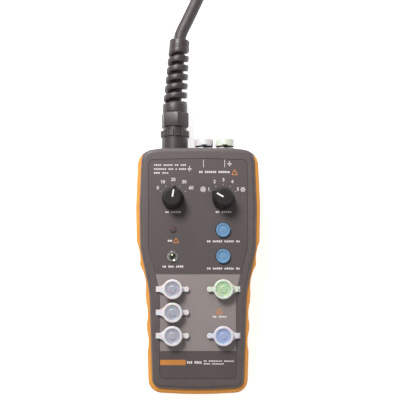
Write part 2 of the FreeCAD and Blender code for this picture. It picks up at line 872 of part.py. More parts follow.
def make_knob(name, x, y, rest):
    """A pointer knob with its cap, on the shaft of a rotary switch that a nut holds to the panel."""
    turn = FreeCAD.Rotation(UP, -rest)
    body = turned(
        f"{name}_knob",
        [
            ("shaft_radius", "switch_bush_height + knob_lift"),
            ("knob_pocket_radius", "switch_bush_height + knob_lift"),
            ("knob_pocket_radius", "knob_lift"),
            ("knob_skirt_radius", "knob_lift"),
            ("knob_skirt_radius", "knob_lift + knob_skirt_height"),
            ("knob_radius", "knob_lift + knob_skirt_height + knob_shoulder"),
            ("knob_top_radius", "knob_height - knob_bevel"),
            ("knob_top_radius - knob_bevel", "knob_height"),
            ("knob_cap_radius", "knob_height"),
            ("knob_cap_radius", "knob_height - knob_cap_depth"),
            ("shaft_radius", "knob_height - knob_cap_depth"),
        ],
    )
    sketch = new_sketch(body, offset="knob_lift")
    root = "knob_skirt_radius - knob_nose_sink"
    tip = "knob_skirt_radius + knob_nose"
    right = [("knob_nose_root", root), ("knob_nose_tip", tip)]
    add_polygon(sketch, right + [(f"-{x}", y) for x, y in reversed(right)])
    pad(body, sketch, "knob_skirt_height")
    at(body, x, y, PANEL_LEVEL, turn)
    cap = turned(
        f"{name}_knob_cap",
        [
            ("0", "knob_height - knob_cap_depth"),
            ("knob_cap_radius", "knob_height - knob_cap_depth"),
            ("knob_cap_radius", "knob_height"),
            ("knob_cap_radius - knob_cap_bevel", "knob_height + knob_cap_bevel"),
            ("0", "knob_height + knob_cap_bevel"),
        ],
    )
    at(cap, x, y, PANEL_LEVEL, turn)
    end = "knob_height - knob_cap_depth"
    shaft = turned(
        f"{name}_switch_shaft",
        [
            ("0", "shaft_gap + switch_floor - switch_height"),
            ("shaft_radius", "shaft_gap + switch_floor - switch_height"),
            ("shaft_radius", end),
            ("0", end),
        ],
    )
    at(shaft, x, y, PANEL_LEVEL, turn)
    bore = "shaft_radius + shaft_clearance"
    switch = turned(
        f"{name}_switch_body",
        [
            ("0", f"-switch_height - ({PANEL_INNER})"),
            ("switch_radius", f"-switch_height - ({PANEL_INNER})"),
            ("switch_radius", f"-({PANEL_INNER})"),
            ("switch_bush_radius", f"-({PANEL_INNER})"),
            ("switch_bush_radius", "switch_bush_height"),
            (bore, "switch_bush_height"),
            (bore, "switch_floor - switch_height"),
            ("0", "switch_floor - switch_height"),
        ],
    )
    at(switch, x, y, PANEL_LEVEL)
    nut = hex_nut(f"{name}_switch_nut", "switch_nut_flats", "switch_nut_height", "switch_bush_radius")
    at(nut, x, y, PANEL_LEVEL)


# --- buttons, lamp and touch electrode --------------------------------------------------------------


def make_button(name, y):
    """A sprung cap that a housing under the panel guides."""
    rim = "button_radius - button_rim"
    floor = "-button_flange_height - button_spring_length"
    lid = f"-({PANEL_INNER}) - button_clearance"
    cap = turned(
        f"{name}_button_cap",
        [
            ("0", f"{lid} - button_flange_height"),
            ("button_radius + button_flange", f"{lid} - button_flange_height"),
            ("button_radius + button_flange", lid),
            ("button_radius", lid),
            ("button_radius", "button_height - button_bevel"),
            ("button_radius - button_bevel", "button_height"),
            (rim, "button_height"),
            (f"{rim} - button_dish", "button_height - button_dish"),
            ("0", "button_height - button_bevel"),
        ],
    )
    at(cap, "column_x", y, PANEL_LEVEL)
    spring = turned(
        f"{name}_button_spring",
        [
            ("button_spring_radius - button_spring_wire", f"{lid} {floor}"),
            ("button_spring_radius", f"{lid} {floor}"),
            ("button_spring_radius", f"{lid} - button_flange_height"),
            ("button_spring_radius - button_spring_wire", f"{lid} - button_flange_height"),
        ],
    )
    at(spring, "column_x", y, PANEL_LEVEL)
    inner = "button_radius + button_flange + button_clearance"
    housing = turned(
        f"{name}_button_switch",
        [
            ("0", f"{lid} {floor} - button_housing_floor"),
            (f"{inner} + button_housing_wall", f"{lid} {floor} - button_housing_floor"),
            (f"{inner} + button_housing_wall", f"-({PANEL_INNER})"),
            (inner, f"-({PANEL_INNER})"),
            (inner, f"{lid} {floor}"),
            ("0", f"{lid} {floor}"),
        ],
    )
    at(housing, "column_x", y, PANEL_LEVEL)


def make_lamp():
    outer = "lamp_radius + lamp_flange"
    inner = "bulb_radius"
    lens = turned(
        "lamp_lens",
        [
            (inner, "-lamp_depth"),
            ("lamp_radius", "-lamp_depth"),
            ("lamp_radius", "0"),
            (outer, "0"),
            (outer, "lamp_lip"),
            ("lamp_radius * cos(22.5deg)", "lamp_lip + (lamp_height - lamp_lip) / 2"),
            ("lamp_radius / 2", "lamp_height - (lamp_height - lamp_lip) / 8"),
            ("0", "lamp_height"),
            ("0", "lamp_height - lamp_wall"),
            (inner, "(lamp_height - lamp_wall) / 3"),
        ],
    )
    at(lens, "-column_x", "lamp_y", PANEL_LEVEL)
    bulb = turned(
        "lamp_bulb",
        [
            ("0", "-lamp_depth - bulb_tail"),
            (inner, "-lamp_depth - bulb_tail"),
            (inner, "-bulb_gap - bulb_radius"),
            (f"{inner} / 2", "-bulb_gap - bulb_radius / 4"),
            ("0", "-bulb_gap"),
        ],
    )
    at(bulb, "-column_x", "lamp_y", PANEL_LEVEL)


def make_touch_electrode():
    electrode = turned(
        "touch_electrode",
        [
            ("0", "-touch_stem_length"),
            ("touch_stem_radius", "-touch_stem_length"),
            ("touch_stem_radius", "0"),
            ("touch_radius", "0"),
            ("touch_radius", "touch_height - touch_bevel"),
            ("touch_radius - touch_bevel", "touch_height"),
            ("touch_radius - 2 * touch_bevel", "touch_height"),
            ("touch_radius - 4 * touch_bevel", "touch_height - touch_dish_depth"),
            ("0", "touch_height - touch_dish_fall"),
        ],
    )
    at(electrode, "-column_x", "touch_y", PANEL_LEVEL)
    nut = hex_nut("touch_electrode_nut", "touch_nut_flats", "touch_nut_height", "touch_stem_radius")
    at(nut, "-column_x", "touch_y", f"{PANEL_LEVEL} - ({PANEL_INNER}) - touch_nut_height")


# --- sockets and dust caps --------------------------------------------------------------------------


def socket_stations():
    """Name, place, rotation and wall of each socket; a cap's hinge lies towards the station's local +X."""
    outwards = {"-column_x": FreeCAD.Rotation(UP, 180), "column_x": FreeCAD.Rotation()}
    for name, (x, y) in SOCKETS.items():
        yield name, (x, y, PANEL_LEVEL), outwards[x], PANEL_INNER
    # On the end face the hinge is on the side of the flat back.
    to_back = TO_END.multiply(FreeCAD.Rotation(UP, 90))
    for name, x in END_SOCKETS.items():
        yield name, (x, SEAT_FACE, "end_axis_z"), to_back, "side_wall + end_seat_height"


def make_socket(name, place, turn):
    body = turned(
        f"{name}_socket",
        [
            ("contact_radius", "-socket_length"),
            ("socket_thread_radius", "-socket_length"),
            ("socket_thread_radius", "0"),
            (COLLAR_RADIUS, "0"),
            (COLLAR_RADIUS, "socket_collar_height - socket_chamfer"),
            (f"{COLLAR_RADIUS} - socket_chamfer", "socket_collar_height"),
            ("socket_bore_radius", "socket_collar_height"),
            ("socket_bore_radius", "-socket_bore_depth"),
            ("contact_radius", "-socket_bore_depth"),
        ],
    )
    at(body, *place, turn)


def contact_shape():
    """A contact tube with its closed tail, about the socket's axis."""
    mouth = value("socket_collar_height - contact_recess")
    tube_foot = value("-socket_length")
    tail = value("contact_tail")
    tube = Part.makeCylinder(value("contact_radius"), mouth - tube_foot, UP * tube_foot)
    lug_foot = tube_foot - tail + value("contact_tail_overlap")
    lug = Part.makeCylinder(value("contact_tail_radius"), tail, UP * lug_foot)
    bore_foot = value("-contact_depth")
    bore = Part.makeCylinder(value("contact_bore_radius"), mouth - bore_foot, UP * bore_foot)
    return tube.fuse(lug).removeSplitter().cut(bore)


def ring_shape():
    """The ring under a socket's collar, with the arm that ends at the cap's hinge."""
    thick = value("ring_thickness")
    outer = value(f"{COLLAR_RADIUS} + ring_wall")
    width = value("strap_width")
    lift = value("ring_arm_lift")
    arm = Part.makeBox(value("ring_arm_reach"), width, thick, FreeCAD.Vector(0, -width / 2, lift))
    bore = Part.makeCylinder(value(COLLAR_RADIUS), thick + lift)
    return Part.makeCylinder(outer, thick).fuse(arm).removeSplitter().cut(bore)


def socket_nut_shape(wall):
    height = value("socket_nut_height")
    low = -value(wall) - height
    nut = Part.makeCylinder(value("socket_nut_radius"), height, UP * low)
    return nut.cut(Part.makeCylinder(value("socket_thread_radius"), height, UP * low))


def placed(shape, place, turn):
    spot = FreeCAD.Vector(*(value(text) for text in place))
    shape.Placement = FreeCAD.Placement(spot, turn)
    return shape


def make_dust_cap(name, place, turn):
    """A cup that covers the socket, with a pull tab and a strap to its hinge."""
    inner = f"{COLLAR_RADIUS} + cap_clearance"
    outer = f"{inner} + cap_wall"
    top = "cap_low + cap_height"
    body = turned(
        f"{name}_dust_cap",
        [
            ("0", f"{top} - cap_top_wall"),
            (inner, f"{top} - cap_top_wall"),
            (inner, "cap_low"),
            (outer, "cap_low"),
            (outer, f"{top} - cap_bevel"),
            (f"{outer} - cap_bevel", top),
            ("cap_dish_radius", top),
            ("cap_dish_radius - cap_dish_slope", f"{top} - cap_dish_depth"),
            ("cap_button_radius", f"{top} - cap_dish_depth"),
            ("cap_button_radius - cap_dish_slope", f"{top} - cap_dish_depth + cap_button_height"),
            ("0", f"{top} - cap_dish_depth + cap_button_height"),
        ],
    )
    sketch = new_sketch(body, offset="cap_low")
    half = "strap_width / 2"
    root = f"{inner} + cap_wall / 2"
    end = "hinge_reach - strap_gap"
    wide = "strap_width * strap_root_share"
    add_polygon(sketch, [(end, f"-({half})"), (end, half), (root, wide), (root, f"-{wide}")])
    pad(body, sketch, "strap_thickness")
    sketch = new_sketch(body, offset="cap_low")
    near = f"-({root})"
    far = "-tab_reach"
    add_polygon(sketch, [(near, f"-({half})"), (near, half), (far, half), (far, f"-({half})")])
    pad(body, sketch, "strap_thickness")
    at(body, *place, turn)


def make_sockets():
    contacts = []
    nuts = []
    rings = []
    for name, place, turn, wall in socket_stations():
        make_socket(name, place, turn)
        make_dust_cap(name, place, turn)
        contacts.append(placed(contact_shape(), place, turn))
        nuts.append(placed(socket_nut_shape(wall), place, turn))
        rings.append(placed(ring_shape(), place, turn))
    solid_group("socket_contacts", contacts)
    solid_group("socket_nuts", nuts)
    solid_group("cap_rings", rings)


# --- cable gland ------------------------------------------------------------------------------------

RING_FOOT = "collar_length"
NECK_FOOT = f"{RING_FOOT} + ring_flange_length"
NUT_FOOT = f"{NECK_FOOT} + gland_nut_gap"
NUT_END = f"{NUT_FOOT} + gland_nut_length"
SPIRAL_FOOT = f"{NUT_END} + shoulder_length"
SPIRAL_END = f"{SPIRAL_FOOT} + spiral_length"
TIP_END = f"{SPIRAL_END} + tip_collar_length"


def make_gland():
    collar = turned(
        "gland_collar",
        [
            ("gland_thread_radius", "0"),
            ("collar_radius", "0"),
            ("collar_radius", "collar_length"),
            ("gland_thread_radius", "collar_length"),
        ],
    )
    at(collar, "gland_x", END_FACE, "end_axis_z", TO_END)
    neck_end = f"{NECK_FOOT} + gland_neck_length"
    seat = f"{neck_end} + seal_proud - seal_length"
    body = turned(
        "gland_body",
        [
            ("gland_bore_radius", "-gland_inner_length"),
            ("gland_thread_radius", "-gland_inner_length"),
            ("gland_thread_radius", RING_FOOT),
            ("ring_flange_radius", RING_FOOT),
            ("ring_flange_radius", NECK_FOOT),
            ("gland_neck_radius", NECK_FOOT),
            ("gland_neck_radius", neck_end),
            ("seal_radius", neck_end),
            ("seal_radius", seat),
            ("gland_bore_radius", seat),
        ],
    )
    sketch = new_sketch(body, offset=NECK_FOOT)
    for index in range(int(value("ring_teeth"))):
        angle = f"{index} * 360deg / ring_teeth"
        reach = "(ring_flange_radius + tooth_outset)"
        add_circle(sketch, f"{reach} * cos({angle})", f"{reach} * sin({angle})", "tooth_depth")
    pocket(body, sketch, "ring_flange_length")
    at(body, "gland_x", END_FACE, "end_axis_z", TO_END)
    locknut = hex_nut("gland_locknut", "locknut_flats", "locknut_height", "gland_thread_radius")
    at(locknut, "gland_x", f"{END_FACE} - side_wall - locknut_height", "end_axis_z", TO_END)
    seal = turned(
        "gland_seal",
        [
            ("lead_diameter / 2", seat),
            ("seal_radius", seat),
            ("seal_radius", f"{seat} + seal_length"),
            ("lead_diameter / 2", f"{seat} + seal_length"),
        ],
    )
    at(seal, "gland_x", END_FACE, "end_axis_z", TO_END)
    make_gland_nut(f"{seat} + seal_length")


def relief_profile():
    """The half section of the ribbed relief, from below the nut's shoulder to its tip."""
    pitch = "(spiral_length / spiral_turns)"
    narrowing = "(spiral_foot_radius - spiral_tip_radius) / spiral_turns"
    points = [("0", "-relief_overlap"), ("spiral_core_radius", "-relief_overlap")]
    for index in range(int(value("spiral_turns"))):
        low = f"{index} * {pitch}"
        radius = f"spiral_foot_radius - {index} * {narrowing}"
        gap = f"{low} + {pitch} * (1 - spiral_rib_share)"
        if index:
            points.append(("spiral_core_radius", low))
        points += [("spiral_core_radius", gap), (radius, gap), (radius, f"{low} + {pitch}")]
    end = "spiral_length + tip_collar_length"
    return points + [("tip_collar_radius", "spiral_length"), ("tip_collar_radius", end), ("0", end)]


def make_gland_nut(seal_end):
    """The hexagonal nut with the ribbed relief that keeps the lead from kinking, which leans a little."""
    body = new_body("gland_nut")
    sketch = new_sketch(body, offset=NUT_FOOT)
    add_polygon(sketch, hexagon("gland_nut_flats"))
    pad(body, sketch, "gland_nut_length")
    shoulder = [
        ("0", NUT_FOOT),
        ("gland_neck_radius", NUT_FOOT),
        ("shoulder_radius", NUT_END),
        ("shoulder_radius", SPIRAL_FOOT),
        ("0", SPIRAL_FOOT),
    ]
    revolve(body, shoulder)
    lean = (SPIRAL_FOOT, "relief_lean")
    revolve(body, relief_profile(), lean)
    thread = new_sketch(body, offset=seal_end)
    add_circle(thread, "0", "0", "gland_neck_radius")
    pocket(body, thread, f"{seal_end} - ({NUT_FOOT})")
    bore = "lead_diameter / 2 + relief_clearance"
    straight = (f"{seal_end} - through_extra", SPIRAL_FOOT)
    leaning = ("-relief_overlap - through_extra", "spiral_length + tip_collar_length + through_extra")
    for (low, high), axis in ((straight, None), (leaning, lean)):
        groove(body, [("0", low), (bore, low), (bore, high), ("0", high)], axis)
    at(body, "gland_x", END_FACE, "end_axis_z", TO_END)


# --- lead and connector -----------------------------------------------------------------------------


def route_tube(spots, radius, share):
    """A tube of straight runs joined by tangent arcs that take up a share of the shorter run."""
    edges = []
    start = spots[0]
    for before, spot, after in zip(spots, spots[1:], spots[2:]):
        back = before - spot
        ahead = after - spot
        reach = share * min(back.Length, ahead.Length)
        half = math.pi / 2 - back.getAngle(ahead) / 2
        bend = reach / math.tan(half)
        back.normalize()
        ahead.normalize()
        depth = bend / math.cos(half) - bend
        middle = spot + (back + ahead).normalize() * depth
        edges.append(Part.LineSegment(start, spot + back * reach).toShape())
        edges.append(Part.Arc(spot + back * reach, middle, spot + ahead * reach).toShape())
        start = spot + ahead * reach
    edges.append(Part.LineSegment(start, spots[-1]).toShape())
    path = Part.Wire(edges)
    circle = Part.Wire(Part.makeCircle(radius, spots[0], spots[1] - spots[0]))
    return path.makePipeShell([circle], True, True)


def relief_axis():
    """A point at the foot of the bend relief, and the direction in which it leans."""
    lean = math.radians(value("relief_lean"))
    foot = FreeCAD.Vector(value("gland_x"), value(f"{END_FACE} + {SPIRAL_FOOT}"), value("end_axis_z"))
    return foot, FreeCAD.Vector(math.sin(lean), math.cos(lean), 0)


def lead_route(tip, direction):
    """The points of the lead's route from the relief's tip, along its direction, to the connector."""
    low = value("lead_diameter / 2 + lead_gap")
    spots = [tip, tip + direction * value("lead_straight")]
    for route, high in ((LEAD_FALL, value("end_axis_z")), (LEAD_RISE, value("connector_radius"))):
        for across, along, share in route:
            spots.append(FreeCAD.Vector(tip.x + across, tip.y + along, low + share * (high - low)))
    return spots


def make_lead():
    """The lead's two runs, and its wires. Returns the point where it goes into the connector."""
    radius = value("lead_diameter / 2")
    foot, direction = relief_axis()
    inner = FreeCAD.Vector(foot.x, value(f"{END_FACE} - lead_inner_end"), foot.z)
    tip = foot + direction * value("spiral_length + tip_collar_length")
    feature_of("lead_core", route_tube([inner, foot, tip], radius, CORE_BEND_SHARE))
    route = lead_route(tip, direction)
    feature_of("lead_cable", route_tube(route, radius, LEAD_BEND_SHARE))
    make_conductors(inner)
    return route[-1]


def make_conductors(jacket_end):
    """Five insulated conductors from the lead's jacket to the terminals."""
    ring = value("conductor_ring_radius")
    radius = value("conductor_radius")
    face = value("terminal_y + terminal_depth")
    entry_z = value("board_seat + board_thickness + terminal_height / 2")
    pitch = value("terminal_width") / CONDUCTORS
    # The wires leave the jacket in a ring, and reach the terminals in the order of their places in it.
    reach = value("body_length")
    block = Part.makeBox(2 * reach, face, reach, FreeCAD.Vector(-reach, 0, 0))
    jacket = Part.makeBox(2 * reach, reach, 2 * reach, FreeCAD.Vector(-reach, jacket_end.y, -reach))
    wires = []
    for index in range(CONDUCTORS):
        place = index - CONDUCTORS // 2
        angle = place * 2 * math.pi / CONDUCTORS
        start = jacket_end + FreeCAD.Vector(ring * math.sin(angle), 0, ring * math.cos(angle))
        end = FreeCAD.Vector(jacket_end.x + place * pitch, face, entry_z)
        wire = Part.makeCylinder(radius, (end - start).Length, start, end - start)
        wires.append(wire.cut(block).cut(jacket).Solids[0])
    solid_group("lead_conductors", wires)


def make_terminals():
    body = new_body("terminal_block")
    sketch = new_sketch(body, offset="board_seat + board_thickness")
    left = "gland_x - terminal_width / 2"
    right = "gland_x + terminal_width / 2"
    far = "terminal_y + terminal_depth"
    add_polygon(sketch, [(left, "terminal_y"), (right, "terminal_y"), (right, far), (left, far)])
    pad(body, sketch, "terminal_height")


def make_connector(spot):
    """The round pin connector on the end of the lead, lying on the surface."""
    place = FreeCAD.Placement(spot, TO_FOOT)
    front = "boot_length + connector_length"
    back = "boot_length + connector_back_wall"
    inner = "connector_radius - connector_wall"
    boot = turned(
        "connector_boot",
        [("0", "0"), ("boot_rear_radius", "0"), ("boot_front_radius", "boot_length"), ("0", "boot_length")],
    )
    shell = turned(
        "connector_shell",
        [
            ("0", "boot_length"),
            ("boot_front_radius + connector_step", "boot_length"),
            ("connector_radius - connector_bevel", "boot_length + connector_taper"),
            ("connector_radius", "boot_length + connector_taper + 2 * connector_bevel"),
            ("connector_radius", f"{front} - connector_bevel"),
            ("connector_radius - connector_bevel", front),
            (inner, front),
            (inner, f"{back} + connector_inner_taper"),
            ("boot_front_radius - 2 * connector_bevel", back),
            ("0", back),
        ],
    )
    insert_foot = "boot_length + insert_place"
    insert = turned(
        "connector_insert",
        [
            ("0", insert_foot),
            (inner, insert_foot),
            (inner, f"{insert_foot} + insert_thickness"),
            ("0", f"{insert_foot} + insert_thickness"),
        ],
    )
    for body in (boot, shell, insert):
        body.Placement = place
    seat = UP * value(f"{insert_foot} + insert_thickness")
    pins = []
    for index in range(PINS):
        ring = value("pin_ring_radius") if index else 0.0
        angle = index * 2 * math.pi / (PINS - 1)
        foot = seat + FreeCAD.Vector(ring * math.sin(angle), ring * math.cos(angle), 0)
        pin = Part.makeCylinder(value("pin_radius"), value("pin_length"), foot)
        pin.Placement = place
        pins.append(pin)
    solid_group("connector_pins", pins)


# --- the whole --------------------------------------------------------------------------------------


def main():
    make_front_shell()
    make_rear_shell()
    make_gasket()
    make_side_grip()
    make_overlay()
    make_screws()
    make_board()
    make_terminals()
    for name, (x, y, rest) in KNOBS.items():
        make_knob(name, x, y, rest)
    for name, y in BUTTONS.items():
        make_button(name, y)
    make_lamp()
    make_touch_electrode()
    make_sockets()
    make_gland()
    make_connector(make_lead())
    doc.recompute()
    for thing in doc.Objects:
        if "Invalid" in thing.State or "Error" in thing.State:
            raise ValueError(f"{thing.Label} did not compute: {thing.State}")
    os.makedirs("parts", exist_ok=True)
    for label, part in parts.items():
        if part.Shape.isNull() or not part.Shape.isValid():
            raise ValueError(f"{label} has no valid shape")
        part.Shape.exportStep(f"parts/{label}.step")
    print(len(parts), "sub-parts")


main()
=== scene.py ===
"""The looks of a handheld charging-station test adapter, built around its CAD frame. Metres."""

import math
import random

import bmesh
import bpy
from mathutils import Matrix, Vector


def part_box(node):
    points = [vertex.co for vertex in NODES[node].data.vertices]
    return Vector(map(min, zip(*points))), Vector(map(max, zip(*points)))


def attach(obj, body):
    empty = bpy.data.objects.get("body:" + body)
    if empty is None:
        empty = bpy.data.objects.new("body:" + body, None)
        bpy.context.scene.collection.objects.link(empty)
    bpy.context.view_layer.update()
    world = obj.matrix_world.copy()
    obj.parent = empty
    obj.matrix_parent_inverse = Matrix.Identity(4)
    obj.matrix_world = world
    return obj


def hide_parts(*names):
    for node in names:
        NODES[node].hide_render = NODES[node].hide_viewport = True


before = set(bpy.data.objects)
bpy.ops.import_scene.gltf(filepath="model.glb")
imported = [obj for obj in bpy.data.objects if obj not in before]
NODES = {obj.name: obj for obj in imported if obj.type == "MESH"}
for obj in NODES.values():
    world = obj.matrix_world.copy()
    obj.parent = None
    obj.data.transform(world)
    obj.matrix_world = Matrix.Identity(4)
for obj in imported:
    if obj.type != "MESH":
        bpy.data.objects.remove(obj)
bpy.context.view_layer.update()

MM = 0.001

# --- places taken from the frame --------------------------------------------------------------------


def middle(node):
    low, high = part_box(node)
    return (Vector(low) + Vector(high)) / 2


def top(node):
    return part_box(node)[1][2]


PANEL_Z = top("panel_overlay")
SEAT_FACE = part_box("front_shell")[1][1]
SEAT_HEIGHT = 1.5 * MM
CASE_END = SEAT_FACE - SEAT_HEIGHT
RANGE_KNOB = middle("range_knob_cap")
STATE_KNOB = middle("state_knob_cap")
TOUCH = middle("touch_electrode")
GLAND = middle("gland_collar")

# --- small tools ------------------------------------------------------------------------------------


def srgb(red, green, blue):
    """A display colour, 0 to 255, as the linear colour that a shader takes."""
    return tuple(
        c / 12.92 if c <= 0.04045 else ((c + 0.055) / 1.055) ** 2.4
        for c in (red / 255, green / 255, blue / 255)
    )


def new_object(name, mesh, material):
    piece = bpy.data.objects.new(name, mesh)
    bpy.context.scene.collection.objects.link(piece)
    piece.data.materials.append(material)
    return piece


def add_piece(name, mesh, finish, body="case"):
    """A piece of the object in one of the materials, riding on a body."""
    piece = new_object(name, mesh, MATERIALS[finish])
    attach(piece, body)
    return piece


def mesh_from(name, points, faces, smooth=True):
    mesh = bpy.data.meshes.new(name)
    mesh.from_pydata([tuple(p) for p in points], [], faces)
    if smooth:
        mesh.shade_smooth()
    return mesh


def lathe(profile, steps=64, closed=False):
    """Points and faces of a profile (radius, height) turned about Z. A radius of 0 closes a pole."""
    points, rings = [], []
    for radius, height in profile:
        if radius < 1e-9:
            rings.append([len(points)])
            points.append(Vector((0, 0, height)))
        else:
            rings.append(list(range(len(points), len(points) + steps)))
            for step in range(steps):
                angle = 2 * math.pi * step / steps
                points.append(Vector((radius * math.cos(angle), radius * math.sin(angle), height)))
    faces = []
    pairs = list(zip(rings, rings[1:] + rings[:1] if closed else rings[1:]))
    for lower, upper in pairs:
        for step in range(steps):
            after = (step + 1) % steps
            ring = [lower[step % len(lower)], lower[after % len(lower)],
                    upper[after % len(upper)], upper[step % len(upper)]]
            face = list(dict.fromkeys(ring))
            if len(face) > 2:
                faces.append(face)
    return points, faces


# --- materials --------------------------------------------------------------------------------------


class Nodes:
    """A short way to make and join shader nodes."""

    def __init__(self, name):
        self.material = bpy.data.materials.new(name)
        self.material.use_nodes = True
        self.tree = self.material.node_tree
        self.shader = self.tree.nodes["Principled BSDF"]
        self.coordinates = self.add("ShaderNodeTexCoord").outputs["Object"]

    def add(self, kind, **values):
        node = self.tree.nodes.new(kind)
        for name, value in values.items():
            setattr(node, name, value)
        return node

    def join(self, source, target):
        self.tree.links.new(source, target)

    def noise(self, size, detail=3.0, roughness=0.55, stretch=None):
        """Noise whose features are about size metres across."""
        node = self.add("ShaderNodeTexNoise")
        node.inputs["Scale"].default_value = 1 / size
        node.inputs["Detail"].default_value = detail
        node.inputs["Roughness"].default_value = roughness
        source = self.coordinates
        if stretch:
            mapping = self.add("ShaderNodeMapping")
            mapping.inputs["Scale"].default_value = stretch
            self.join(source, mapping.inputs["Vector"])
            source = mapping.outputs["Vector"]
        self.join(source, node.inputs["Vector"])
        return node.outputs["Fac"]

    def spread(self, value, low, high, start=0.3, end=0.7):
        node = self.add("ShaderNodeMapRange")
        node.inputs["From Min"].default_value = start
        node.inputs["From Max"].default_value = end
        node.inputs["To Min"].default_value = low
        node.inputs["To Max"].default_value = high
        self.join(value, node.inputs["Value"])
        return node.outputs["Result"]

    def blend(self, share, first, second):
        """Mix two colours, each a tuple or a socket."""
        node = self.add("ShaderNodeMix", data_type="RGBA")
        self.join(share, node.inputs["Factor"])
        for socket, colour in ((node.inputs[6], first), (node.inputs[7], second)):
            if isinstance(colour, tuple):
                socket.default_value = (*colour, 1)
            else:
                self.join(colour, socket)
        return node.outputs[2]

    def bump(self, height, distance, strength=1.0):
        node = self.add("ShaderNodeBump")
        node.inputs["Distance"].default_value = distance
        node.inputs["Strength"].default_value = strength
        self.join(height, node.inputs["Height"])
        self.join(node.outputs["Normal"], self.shader.inputs["Normal"])


def scaled(colour, factor):
    return tuple(min(1.0, c * factor) for c in colour)


def moulded(name, colour, roughness, grain=0.35 * MM, depth=0.03 * MM, mottle=0.08, gloss=0.5, blur=0.08):
    """Moulded plastic or rubber: a fine grain, a slightly uneven colour and an uneven sheen."""
    nodes = Nodes(name)
    broad = nodes.spread(nodes.noise(9 * MM, 4), 0, 1)
    colour_out = nodes.blend(broad, scaled(colour, 1 - mottle), scaled(colour, 1 + mottle))
    nodes.join(colour_out, nodes.shader.inputs["Base Color"])
    sheen = nodes.spread(nodes.noise(3 * MM, 3), roughness - blur, roughness + blur)
    nodes.join(sheen, nodes.shader.inputs["Roughness"])
    nodes.shader.inputs["Specular IOR Level"].default_value = gloss
    nodes.bump(nodes.noise(grain, 2), depth)
    return nodes


def printed(name, colour, roughness=0.5, mottle=0.05):
    """A thin layer of ink, smoother than what it is printed on."""
    return moulded(name, colour, roughness, grain=0.1 * MM, depth=0.004 * MM, mottle=mottle).material


def make_case_materials(made):
    coarse = {"grain": 0.5 * MM, "depth": 0.05 * MM}
    made["shell"] = moulded("shell_plastic", srgb(81, 72, 71), 0.5, **coarse).material
    rubber = {"grain": 0.4 * MM, "depth": 0.05 * MM, "mottle": 0.03}
    made["grip"] = moulded("grip_rubber", srgb(212, 142, 60), 0.62, **rubber).material
    made["panel"] = panel_film()
    made["plate"] = printed("plate_ink", srgb(184, 119, 52), roughness=0.45)
    made["ink"] = printed("white_ink", srgb(208, 200, 198), mottle=0.04)
    made["mark"] = printed("pointer_white", srgb(232, 228, 224), mottle=0.08)
    made["signal"] = printed("orange_ink", srgb(206, 128, 60))


def make_control_materials(made):
    fine = {"grain": 0.3 * MM, "depth": 0.02 * MM, "gloss": 0.3}
    made["knob"] = moulded("knob_plastic", srgb(30, 26, 25), 0.45, **fine).material
    made["button"] = moulded("button_plastic", srgb(96, 134, 168), 0.45, depth=0.015 * MM).material
    made["black"] = moulded("black_plastic", srgb(34, 30, 30), 0.45, depth=0.02 * MM).material
    clear = {"mottle": 0.12, "depth": 0.004 * MM, "gloss": 0.8, "blur": 0.04}
    made["lens"] = moulded("lamp_lens", srgb(84, 66, 72), 0.12, **clear).material
    made["clear"] = soft_cap("cap_clear", srgb(228, 224, 226))
    made["green"] = soft_cap("cap_green", srgb(220, 228, 214))
    made["blue"] = soft_cap("cap_blue", srgb(222, 221, 230))
    made["disc_grey"] = soft_cap("disc_grey", srgb(172, 171, 184))
    made["disc_green"] = soft_cap("disc_green", srgb(184, 208, 170))
    made["disc_blue"] = soft_cap("disc_blue", srgb(160, 174, 210))
    made["disc_cream"] = soft_cap("disc_cream", srgb(226, 222, 200))


def make_lead_materials(made):
    gland = {"grain": 0.4 * MM, "depth": 0.03 * MM}
    made["gland"] = moulded("gland_plastic", srgb(60, 51, 51), 0.42, **gland).material
    jacket = {"grain": 0.3 * MM, "depth": 0.03 * MM}
    made["jacket"] = moulded("jacket_rubber", srgb(66, 57, 57), 0.5, **jacket).material


def make_inner_materials(made):
    made["chrome"] = metal("plated_metal", srgb(206, 204, 200), 0.14)
    # Plated metal with a darkened base colour: the dark colour is a painted reflection of dark surroundings,
    # not a darker metal.
    made["painted_reflection_metal"] = metal("metal_with_painted_dark_reflection", srgb(92, 90, 78), 0.1)
    made["brass"] = metal("brass", srgb(205, 178, 112), 0.3)
    made["steel"] = metal("steel", srgb(165, 165, 168), 0.32)
    made["board"] = moulded("board_laminate", srgb(34, 92, 52), 0.4).material
    made["terminal"] = moulded("terminal_plastic", srgb(60, 130, 70), 0.45).material
    made["wire"] = moulded("wire_insulation", srgb(120, 70, 40), 0.4).material
    made["glass"] = moulded("bulb_glass", srgb(225, 190, 170), 0.08, depth=0.002 * MM).material


def make_materials():
    made = {}
    for make in (make_case_materials, make_control_materials, make_lead_materials, make_inner_materials):
        make(made)
    return made


# The light field of the panel, from its top edge to its foot.
FIELD_TOP = -3.0 * MM
FIELD_FOOT = -68.0 * MM


